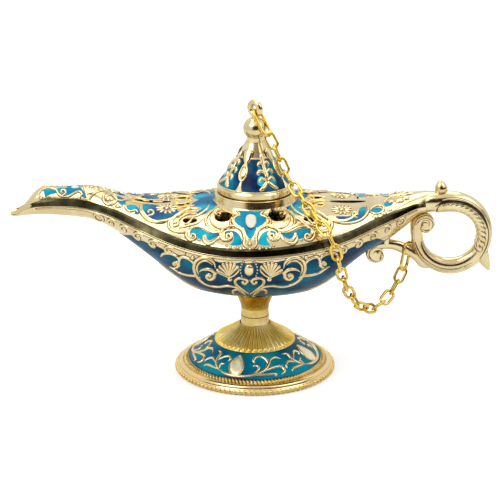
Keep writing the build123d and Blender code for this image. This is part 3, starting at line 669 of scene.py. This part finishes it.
def seam(x):
    """height of the bowl's upper edge in mm"""
    key = round(x * 2)
    if key not in seams:
        low = 80.0
        while not from_front("bowl", key / 2, low):
            low -= 0.5
        high = low + 0.5
        for _ in range(8):
            middle = (low + high) / 2
            if from_front("bowl", key / 2, middle):
                low = middle
            else:
                high = middle
        seams[key] = low
    return seams[key]


def under_seam(x, drop):
    """a place on the bowl's side, so far below its upper edge; sizes in mm"""
    return from_front("bowl", x, seam(x) - drop)


def round_bowl(x, turn):
    """a place on the bowl seen from its middle: turn 0 is level, 90 straight down"""
    out = Vector((0, -math.cos(math.radians(turn)), -math.sin(math.radians(turn))))
    return cast("bowl", Vector((x, 0, seam(x))) * MM + out * 90 * MM, -out)


def ground_start(x):
    """turn at which the enamel starts below the rim, with a wavy edge that falls away at both ends"""
    drop = 1.9 + 2.6 * min(1.0, abs(x) / 50) ** 2 + 0.5 * math.sin(x * 0.55) ** 2
    place = under_seam(x, drop)[0] / MM
    start = math.degrees(math.atan2(seam(x) - place.z, -place.y))
    fade = max(0.0, 1 - min(x - SPOUT_END, NECK_END - x) / 9)
    return start + (88.5 - start) * fade ** 2


# the enamel ends where the stem begins
STEM_CLEAR, STEM_TOP = 8.2 * MM, 36.5 * MM
bowl_blue = Relief()
columns, rows, LOWEST_TURN = 96, 26, 89.0
verts, faces = [], []
for i in range(columns + 1):
    x = SPOUT_END + (NECK_END - SPOUT_END) * i / columns
    start = ground_start(x)
    for j in range(rows + 1):
        place, normal = round_bowl(x, start + (LOWEST_TURN - start) * j / rows)
        verts.append(place + normal * (0.02 if j == 0 or i in (0, columns) else 0.12) * MM)
for i in range(columns):
    for j in range(rows):
        a = i * (rows + 1) + j
        quad = (a, a + 1, a + rows + 2, a + rows + 1)
        middle = sum((verts[k] for k in quad), Vector()) / 4
        if middle.xy.length > STEM_CLEAR and middle.z > STEM_TOP:
            faces.append(quad)
bowl_blue.add(verts, faces)
bowl_blue.make("bowl_enamel", "lamp", teal, None, True)

# flat edge of the cover above the seam, with a crisp shoulder, in near-black gold that is a painted dark reflection;
# each pair is a rise from the seam and a lift
shoulder = Relief()
SHOULDER_ENDS, SHOULDER_TAPER = (-96, 70), 12
for low, high in (((0.2, 0.12), (2.2, 0.5)), ((2.2, 0.5), (3.2, 0.02))):
    verts = []
    for x in range(SHOULDER_ENDS[0], SHOULDER_ENDS[1] + 1):
        share = min(1.0, (x - SHOULDER_ENDS[0]) / SHOULDER_TAPER, (SHOULDER_ENDS[1] - x) / SHOULDER_TAPER)
        for rise, lift in (low, high):
            place, normal = from_front("cover", x, seam(x) + rise * (0.6 + 0.4 * share), cast_base)
            verts.append(place + normal * lift * max(share, 0.05) * MM)
    shoulder.add(verts, [(k, k + 2, k + 3, k + 1) for k in range(0, len(verts) - 2, 2)])
shoulder.make("cover_shoulder", "lamp", painted_shade_and_reflection_gold, GOLD_SLOT, True)

bowl_gold = Relief(shade, 1.45)
on_bowl = laid("bowl", front_view)
BOWL_MIRROR = 1735
bowl_pair = partial(ridge_pair, bowl_gold, on_bowl, BOWL_MIRROR)
bowl_bosses = partial(boss_pair, bowl_gold, on_bowl, BOWL_MIRROR)

# lip just below the seam
ridge(bowl_gold, under_seam, [(x, 0.75) for x in range(-92, 69, 4)], 0.3, 0.3, steps=3)
# cabochon in its ring of beads
boss(bowl_gold, on_bowl, 862, 785, 2.1, 1.5, 1.45, (862, 740))
RING_BEADS = 22
for x, y in spiral(862, 784, [(74, k * 360 / RING_BEADS) for k in range(RING_BEADS)], 92 / 74):
    boss(bowl_gold, on_bowl, x, y, 0.42, 0.5)
# shells
for x, y in ((578, 776), (600, 744), (632, 722), (668, 712), (706, 712), (742, 724), (772, 746)):
    bowl_pair([(690, 836, 0.35), ((690 + x) / 2, (836 + y) / 2, 0.8), (x, y, 1.5)], 0.42, 0.75)
bowl_bosses(696, 862, 1.15)
bowl_pair([(575, 800, 0.5), (610, 812), (650, 830), (690, 846), (730, 832), (765, 800), (780, 770, 0.5)], 0.3, 0.5)
# large scrolls
bowl_pair([(572, 770, 0.6), (556, 716), (510, 682), (450, 676), (400, 706), (384, 762), (402, 826),
           (446, 878), (510, 912), (590, 926), (670, 918), (735, 926), (800, 956), (866, 992, 0.6)], 0.52, 0.8)
bowl_pair([(428, 800, 0.6), (462, 778), (520, 776), (566, 806)] + curl(522, 834, 44, 8, -20, 340, 0.85, 11), 0.6, 0.9)
bowl_pair([(548, 740, 0.5), (510, 708), (460, 704), (420, 734), (410, 780), (428, 830, 0.5)], 0.34, 0.6)
bowl_bosses(522, 836, 0.8)
# heart below the cabochon
bowl_pair([(867, 990, 0.6), (800, 946), (752, 908), (744, 872), (776, 852), (822, 858)]
          + curl(822, 884, 28, 7, -60, 250, 0.85), 0.5, 0.8)
bowl_pair([(732, 996, 0.5), (724, 966), (760, 950), (800, 972), (840, 1004, 0.5)], 0.45, 0.6)
# arches and knobs to both sides
bowl_pair([(384, 740, 0.6), (362, 700), (316, 676), (276, 670), (256, 702), (262, 756, 0.6)], 0.5, 0.75)
bowl_pair([(256, 700, 0.6), (236, 664), (180, 640), (120, 640), (96, 668, 0.6)], 0.45, 0.7)
bowl_pair([(170, 752, 0.6), (216, 774), (262, 806), (330, 826), (400, 834), (444, 850, 0.6)], 0.5, 0.7)
bowl_pair(curl(224, 732, 34, 8, 100, -260, 0.9), 0.5, 0.8)
for x, y, r in ((374, 676, 0.9), (224, 732, 0.7), (196, 640, 0.8), (300, 640, 0.7)):
    bowl_bosses(x, y, r)


def leaf_scroll(x, drop, size, lean, way):
    """a small rolled leaf below the seam; way is the side to which it rolls"""
    turns = [(2.6, -150), (1.9, -120), (1.35, -80)] + [(1.15 - 0.14 * n, -50 + 45 * n) for n in range(7)]
    points = spiral(0, drop, [(size * r, a + lean) for r, a in turns], 0.8)
    ridge(bowl_gold, under_seam, [(x + way * along, down) for along, down in points], 0.42, 0.7)


# row of rolled leaves under the seam, towards the spout and the neck
for x, drop, size in ((-65.3, 2.8, 1.9), (61, 2.6, 1.6)):
    ridge(bowl_gold, under_seam, spiral(x, drop, [(size, k * 45) for k in range(8)]), 0.35, 0.55, True)
    bowl_gold.bead(*under_seam(x, drop), 0.55)
for x, drop, size, way in ((-60, 3.2, 1.35, -1), (-54.5, 3.4, 1.35, -1), (-48.5, 3.6, 1.5, -1), (-42, 3.7, 1.5, -1),
                           (-35.5, 3.5, 1.4, -1), (36, 3.5, 1.4, 1), (42.5, 3.6, 1.4, 1), (49, 3.4, 1.3, 1),
                           (55, 3.0, 1.2, 1)):
    leaf_scroll(x, drop, size, 20, way)
    hit = under_seam(x, drop)
    if hit:
        bowl_gold.bead(*hit, 0.6)
# lower leaves that run from the stem to both ends
for x0, x1, t0, t1 in ((-8, -52, 62, 66), (8, 48, 62, 66), (-10, -40, 78, 50), (10, 38, 78, 50)):
    ridge(bowl_gold, round_bowl, [(x0 + (x1 - x0) * k / 8, t0 + (t1 - t0) * k / 8 + 5 * math.sin(k * 1.2))
                                  for k in range(9)], 0.5, 0.7)
# small leaves round the stem, on the front half
for k in range(13, 24):
    path = []
    for reach, bend in ((9.5, 0), (12, 6), (15, 4), (18.5, 0)):
        out = outward(k * 15 + (bend if k % 2 else -bend))
        path.append(cast("bowl", (out * reach + Vector((0, 0, 20))) * MM, Vector((0, 0, 1))))
    if all(path):
        bowl_gold.tube(path, [0.3, 0.6, 0.5, 0.2], 0.5)
bowl_gold.make("bowl_scrolls", "lamp", relief_gold, GOLD_SLOT, True)
# the dark feet of the ridges and bosses: patina and painted shade
shade.make("scroll_patina_and_shade", "lamp", patina_and_painted_shade, GOLD_SLOT, True)

# Foot: enamel band, vine, rope, beads and flutes
BAND_OUT, BAND_IN = 28.2, 17.2


def on_foot(angle, radius):
    """a place on the foot; angle in degrees, radius in mm"""
    x, y = spiral(0, 0, [(radius, angle)])[0]
    return cast("foot", Vector((x, y, 40)) * MM, Vector((0, 0, -1)))


foot_shade = Relief()
foot_gold, foot_warm, foot_leaf, foot_edge = Relief(foot_shade, 1.7), Relief(), Relief(), Relief()
enamel_band(on_foot, BAND_OUT - 0.15, BAND_IN + 0.15, 144, 8, 0.15).make("foot_enamel", "lamp", foot_teal)
for radius in (BAND_OUT, BAND_IN):
    ring(foot_edge, on_foot, radius, 0.32, 0.2, 60, 2)
foot_edge.make("foot_enamel_edge", "lamp", navy)

REPEATS = 4
for n in range(REPEATS):
    def on_vine(angle, radius, base=-108 + n * 360 / REPEATS):
        return on_foot(base + angle * 1.2, BAND_IN + (radius - 18) * 0.92)

    # pointed leaf
    leaf = [(-1.5, 19.9), (-6.0, 22.5), (-7.0, 25.2), (-4.0, 28.0), (1.5, 29.0), (4.5, 26.6), (4.5, 23.6), (1.8, 21.0)]
    # the leaf's face is filled in the paler gold, a painted highlight
    foot_leaf.sheet(smooth(leaf, 4, True), on_vine, 0.6, 0.2, 1.1)
    ridge(foot_gold, on_vine, leaf, 0.28, 0.75, True)
    # stem and its twigs
    for points, width, height in (
            ([(-14, 27.6, 0.5), (-8, 28.6), (2, 29.0), (13, 28.2), (22, 26.4), (27, 23.8), (30, 21.6), (36, 20.8),
              (41, 22.0, 0.5)], 0.42, 0.65),
            ([(27, 23.8, 0.7), (26, 21.2), (21, 19.6), (16, 20.0), (13.5, 21.6), (15, 22.8, 0.6)], 0.42, 0.65),
            ([(20, 27.0, 0.7), (29, 25.4), (37, 25.2), (39, 27.4), (35, 28.8, 0.5)], 0.4, 0.65),
            ([(14, 28.2, 0.6), (24, 28.0), (31, 28.2), (30, 29.2, 0.5)], 0.34, 0.55),
            ([(13, 28.0, 0.6), (18, 25.6), (17, 24.0), (13, 24.2, 0.5)], 0.36, 0.6),
            ([(-14, 27.8, 0.6), (-20, 25.6), (-23, 23.0), (-24, 20.6), (-30, 20.0, 0.5)], 0.4, 0.65),
            ([(-22, 24.0, 0.6), (-17, 21.6), (-12, 20.8), (-9.5, 22.0), (-11, 23.2, 0.5)], 0.38, 0.6),
            ([(-21, 25.2, 0.6), (-28, 24.0), (-32, 25.0), (-33, 26.8, 0.5)], 0.36, 0.6),
            ([(-16, 27.4, 0.6), (-22, 27.2), (-28, 27.4), (-30, 28.4, 0.5)], 0.34, 0.55),
            ([(-15, 27.0, 0.6), (-16, 25.2), (-12.5, 24.6, 0.5)], 0.3, 0.5)):
        ridge(foot_gold, on_vine, points, width, height)
foot_gold.make("foot_vine", "lamp", relief_gold, GOLD_SLOT)
foot_leaf.make("foot_leaves", "lamp", painted_highlight_gold, GOLD_SLOT)
# the dark feet of the vine: patina and painted shade
foot_shade.make("vine_patina_and_shade", "lamp", patina_and_painted_shade)

# rope ring
ROPE_TURNS, EDGE_BEADS = 120, 96
for k in range(ROPE_TURNS):
    a = k * 360 / ROPE_TURNS
    path = [on_foot(a - 1.1, 28.8), on_foot(a, 29.5), on_foot(a + 1.1, 30.3)]
    foot_warm.tube(path, [0.36, 0.52, 0.36], 0.75)
# bead ring at the edge, and the smooth band inside it
for k in range(EDGE_BEADS):
    out = outward(k * 360 / EDGE_BEADS)
    foot_warm.bead((out * 33.6 + Vector((0, 0, 1.5))) * MM, (out + Vector((0, 0, 0.3))).normalized(), 0.92, 0.8,
                   Vector((0, 0, 1)), 1.2, 5, 8, 0.3)
foot_band = Relief()
ring(foot_band, on_foot, 31.6, 1.15, 0.5, 60, 2)
foot_band.make("foot_band", "lamp", gold, GOLD_SLOT)

# warm skin on the flutes round the stem
FLUTES, PER_FLUTE, FLUTE_SKIN, FLUTE_RISE = 44, 10, 0.13, 0.42
radii = [17.15, 17.05, 16.9, 16.6, 16.2, 15.5, 14.5, 13, 11.5, 10, 8.5, 7.3, 6.6, 6.3]
flutes, verts = Relief(), []
for i in range(FLUTES * PER_FLUTE):
    for radius in radii:
        place, normal = on_foot(i * 360 / (FLUTES * PER_FLUTE), radius)
        wave = abs(math.cos(math.pi * i / PER_FLUTE))
        verts.append(place + normal * (FLUTE_SKIN + FLUTE_RISE * wave * min(1.0, (radii[0] - radius) / 0.6)) * MM)
flutes.rings(verts, FLUTES * PER_FLUTE)
flutes.make("foot_flutes", "lamp", flute_gold, GOLD_SLOT)
# painted shade: dark lines in the hollows between the flutes
grooves = Relief()
for k in range(FLUTES):
    a = (k + 0.5) * 360 / FLUTES
    ridge(grooves, on_foot, [(a, 6.8, 0.7), (a, 8.5), (a, 11.0), (a, 13.5, 0.7), (a, 15.6, 0.4)], 0.24, 0.34)
grooves.make("flute_grooves", "lamp", flare_painted_shade_gold, GOLD_SLOT)
foot_warm.make("foot_rope", "lamp", warm_gold, GOLD_SLOT)

# skin of the stem, with painted shade: the flare under the bowl painted darkest and the shaft painted darker than the
# other gold, with the line of their joint
flare, shaft, joint_line = Relief(), Relief(), Relief()
STEM_TURNS = 48
stem_ways = [outward(k * 360 / STEM_TURNS) for k in range(STEM_TURNS)]
for skin, node, levels in ((flare, "bowl", (27.7, 28.4, 29.2, 30, 31, 32, 33, 34, 34.9)),
                           (shaft, "bowl", (24.45, 25.6, 26.8, 27.8)),
                           (shaft, "foot", (20.6, 21.4, 22.6, 24.15))):
    verts = []
    for out in stem_ways:
        for z in levels:
            place = cast(node, out * 12 * MM + Vector((0, 0, z * MM)), -out)[0]
            lift = 0.07
            if skin is flare:
                share = (z - levels[0]) / (levels[-1] - levels[0])
                lift += max(0.0, 5.95 + 2.9 * share ** 1.6 - place.xy.length / MM)
            verts.append(place + out * lift * MM)
    skin.rings(verts, STEM_TURNS)
flare.make("stem_flare", "lamp", flare_painted_shade_gold, GOLD_SLOT)
shaft.make("stem_shaft", "lamp", stem_painted_shade_gold, GOLD_SLOT)
joint_line.tube([((out * 5.97 + Vector((0, 0, 24.3))) * MM, out) for out in stem_ways], [0.22] * STEM_TURNS, 0.1, True)
joint_line.make("stem_joint_line", "lamp", patina_and_painted_shade)

# Lid: enamel cone, ribs with beaded leaves, leaf clusters and rings
LID_LOW, LID_HIGH, LID_LIFT = 80.9, 92.8, 2.35


def on_lid(angle, height):
    """a place on the lid's cone; angle in degrees, height in mm, counted from LID_LIFT above the floor"""
    out = outward(angle)
    return cast("lid", out * 0.06 + Vector((0, 0, (height + LID_LIFT) * MM)), -out)


lid_shade = Relief()
lid_bright, lid_gold, lid_rings = Relief(), Relief(lid_shade, 1.4), Relief()
enamel_band(on_lid, LID_LOW, LID_HIGH, 96, 16, 0.13).make("lid_enamel", "lid", navy)
for n in range(REPEATS):
    def on_rib(angle, height, base=-117 + n * 360 / REPEATS):
        return on_lid(base + angle, height)

    def on_cluster(angle, height, base=-66 + n * 360 / REPEATS):
        return on_lid(base + angle, height)

    ridge(lid_gold, on_rib, [(0, 96.5, 1.25), (0, 94.5, 1.25), (0, 92.6, 1.0), (0, 91, 0.55), (0, 89.8, 0.7)],
          1.25, 0.7)
    leaf = [(0, 91.0), (-6.5, 89.4), (-8.5, 87.6), (-6.0, 85.8), (0, 84.6), (6.0, 85.8), (8.5, 87.6), (6.5, 89.4)]
    lid_gold.sheet(smooth(leaf, 4, True), on_rib, 1.0, 0.25, 1.6)
    ridge(lid_gold, on_rib, leaf, 0.3, 0.9, True)
    for k in range(4):
        place, normal = on_rib(0, 86.2 + k * 1.15)
        lid_gold.bead(place + normal * 0.8 * MM, normal, 0.5, 0.5)
    ridge(lid_gold, on_rib, [(0, 85.0, 0.6), (-0.5, 83.0, 0.7), (0, 81.2, 1.6), (0, 80.6, 2.0)], 0.75, 0.8)
    # leaf cluster, rolled to both sides
    ridge(lid_gold, on_cluster, [(0, 95.2, 0.9), (0, 92.5, 0.8), (0, 90, 0.7), (2, 87.5, 0.8), (0, 85.2, 0.5)],
          1.0, 0.8)
    for side in (-1, 1):
        for top, reach, size in ((91.6, 12, 1.0), (88.6, 14, 1.1), (85.8, 12, 1.0)):
            ridge(lid_gold, on_cluster,
                  [(side, top - 1.2, 0.6), (side * reach * 0.5, top - 0.2), (side * reach, top),
                   (side * reach * 1.25, top - 0.9), (side * reach * 1.05, top - 1.6, 0.6)], 0.5 * size, 0.8)
        ridge(lid_gold, on_cluster, [(side, 84.8, 0.6), (side * 6, 83.4), (side * 12, 82.2), (side * 17, 81.6, 0.5)],
              0.75, 0.75)
        for outline in ([(9, 90.4), (16, 90.0), (18, 88.0), (14, 87.2), (8, 88.4)],
                        [(8, 86.6), (16, 86.6), (20, 84.4), (14, 83.2), (7, 84.6)]):
            lid_bright.sheet(smooth([(side * a, z) for a, z in outline], 4, True), on_cluster, 0.24, 0.14, 1.4)
lid_gold.make("lid_ribs", "lid", relief_gold, GOLD_SLOT)
# the dark feet of the ribs: patina and painted shade
lid_shade.make("rib_patina_and_shade", "lid", patina_and_painted_shade)
lid_bright.make("lid_bright_enamel", "lid", turquoise)
# gold rings at the cone's two ends
ring(lid_rings, on_lid, LID_HIGH + 0.3, 0.45, 0.35, 30, 3)
ring(lid_rings, on_lid, LID_LOW - 0.15, 0.4, 0.3, 30, 3)
lid_rings.make("lid_rings", "lid", gold, GOLD_SLOT)

# Handle: rope lobes, groove lines and spirals
RING_X, RING_Z = 82.6, 60.4
on_side = partial(from_front, "handle")


def on_ring(angle, radius):
    """a place on the front of the handle's ring; angle in degrees, radius in mm"""
    return on_side(*spiral(RING_X, RING_Z, [(radius, angle)])[0])


handle_shade, handle_painted_shade = Relief(), Relief()
handle_gold = Relief(handle_shade)
for k in range(15):
    a = 112 - k * 9.6
    ridge(handle_gold, on_ring, [(a + 8, 10.9, 0.6), (a + 3, 11.8), (a - 2, 13.2), (a - 6, 14.7, 0.35)], 1.45, 0.5)
ridge(handle_gold, on_ring, [(k, 16.4) for k in range(104, -46, -8)], 0.55, 0.4)
ridge(handle_gold, on_ring, [(k, 12.5) for k in range(-50, -176, -9)], 0.45, 0.5)
ridge(handle_gold, on_ring, [(k, 15.4) for k in range(-52, -176, -9)], 0.5, 0.5)
ridge(handle_gold, on_side, spiral(71.7, 64.3, [(4.5, 168), (4.4, 130), (4.3, 90), (4.1, 50), (3.7, 10), (3.2, -40),
                                                (2.4, -90), (1.8, -150), (1.3, -220)]), 0.5, 0.6)
ridge(handle_gold, on_side, spiral(51.6, 51.5, [(3.9, 90), (3.9, 140), (3.8, 190), (3.5, 240), (3.0, 290), (2.4, 340),
                                                (1.7, 400), (1.0, 460)]), 0.5, 0.6)
# painted shade: a dark strip along the hollow between the lobes and the outer edge
ridge(handle_painted_shade, on_ring, [(118, 14.9, 0.4), (108, 15.3, 0.8), (96, 15.5), (84, 15.5), (72, 15.6), (60, 15.7),
                               (48, 15.7), (36, 15.7), (24, 15.7, 0.7), (12, 15.6, 0.4)], 0.8, 0.4)
handle_painted_shade.make("handle_hollow_painted_shade", "lamp", painted_shade_and_reflection_gold, GOLD_SLOT, True)
handle_gold.make("handle_relief", "lamp", relief_gold, GOLD_SLOT, True)
# the dark feet of the handle's relief: patina and painted shade
handle_shade.make("handle_patina_and_shade", "lamp", patina_and_painted_shade, None, True)


# Chain: thicker links and end rings; the upper ring goes with the lid and the ring at the strut with the lamp
LINK_FULLER, RING_FULLER = 0.15, 0.23


def fuller(name, node, more):
    """a copy of a node with wire thicker by so many mm all round, in place of the node"""
    copy = new_object(name, nodes[node].data.copy())
    for vertex, normal in [(v, v.normal.copy()) for v in copy.data.vertices]:
        vertex.co += normal * more * MM
    paint(copy, chain_gold)
    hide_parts(node)
    return copy


links = fuller("chain_links", "chain", LINK_FULLER)
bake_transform(links)
for name, node, body in (("upper_ring", "lid_ring", "lid"), ("lower_ring", "strut_ring", "lamp")):
    end_ring = fuller(name, node, RING_FULLER)
    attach(end_ring, body)

# Floor, camera and light
floor_mesh = bpy.data.meshes.new("floor")
floor_mesh.from_pydata([(-3, -3, 0), (3, -3, 0), (3, 3, 0), (-3, 3, 0)], [], [(0, 1, 2, 3)])
floor = new_object("floor", floor_mesh)
floor_material, tree, shader = new_material("floor")
tree.links.new(ramp(tree, noise(tree, 3), [(0.3, (0.93, 0.93, 0.93)), (0.7, (0.95, 0.95, 0.95))]),
               shader.inputs["Base Color"])
shader.inputs["Roughness"].default_value = 0.9
shader.inputs["Specular IOR Level"].default_value = 0.1
shader.inputs["Emission Color"].default_value = (1, 1, 1, 1)
light_path = tree.nodes.new("ShaderNodeLightPath")
glow = sum_of(tree, "MULTIPLY", light_path.outputs["Is Camera Ray"], 0.35)
tree.links.new(glow, shader.inputs["Emission Strength"])
paint(floor, floor_material)

world = bpy.data.worlds.new("studio")
bpy.context.scene.world = world
world.use_nodes = True
tree = world.node_tree

# the room: white all round for the camera, with a dark opening on the camera's side for reflections
direction = tree.nodes.new("ShaderNodeTexCoord")
parts = tree.nodes.new("ShaderNodeSeparateXYZ")
tree.links.new(direction.outputs["Generated"], parts.inputs["Vector"])
world_sum = partial(sum_of, tree)
toward = world_sum("SUBTRACT", world_sum("MULTIPLY_ADD", parts.outputs["X"], 0.5),
                   world_sum("MULTIPLY_ADD", parts.outputs["Y"], 0.86))
front = spread(tree, toward, 0.42, 0.68, curve="SMOOTHSTEP")
high_up = spread(tree, parts.outputs["Z"], 0.5, 0.72, curve="SMOOTHSTEP")
mask = world_sum("MULTIPLY", front, world_sum("SUBTRACT", 1.0, high_up))
room = world_sum("SUBTRACT", 0.88, world_sum("MULTIPLY", mask, 0.84))
light_path = tree.nodes.new("ShaderNodeLightPath")
seen = world_sum("MAXIMUM", light_path.outputs["Is Glossy Ray"], light_path.outputs["Is Transmission Ray"])
strength = world_sum("ADD", world_sum("MULTIPLY", seen, room),
                     world_sum("MULTIPLY", world_sum("SUBTRACT", 1.0, seen), 0.55))
strength = world_sum("MAXIMUM", strength, light_path.outputs["Is Camera Ray"])
background = tree.nodes["Background"]
tint = tree.nodes.new("ShaderNodeMix")
tint.data_type = "RGBA"
tint.inputs["A"].default_value = (1, 1, 1, 1)
tint.inputs["B"].default_value = (0.75, 0.48, 0.18, 1)
tree.links.new(world_sum("MULTIPLY", mask, seen), tint.inputs["Factor"])
tree.links.new(tint.outputs["Result"], background.inputs["Color"])
tree.links.new(strength, background.inputs["Strength"])

camera = new_object("camera", bpy.data.cameras.new("camera"))
bpy.context.scene.camera = camera
camera.location = CAMERA
camera.rotation_euler = (math.pi / 2 - PITCH, 0, 0)
camera.data.sensor_width = 36.0
camera.data.lens = 36.0 * FOCAL_PIXELS / FRAME_PIXELS
camera.data.clip_start = 0.01

for name, place, size, power in (
    ("key", (-0.5, -0.5, 0.8), 0.6, 3.0),
    ("fill", (0.6, -0.3, 0.6), 0.6, 1.5),
    ("top", (0, 0.3, 0.9), 0.8, 3.0),
):
    lamp = new_object(name, bpy.data.lights.new(name, "AREA"))
    lamp.data.size = size
    lamp.data.energy = power
    lamp.location = place
    lamp.rotation_euler = (Vector((0, 0, 0.06)) - Vector(place)).to_track_quat("-Z", "Y").to_euler()

bpy.context.scene.view_settings.view_transform = "Standard"
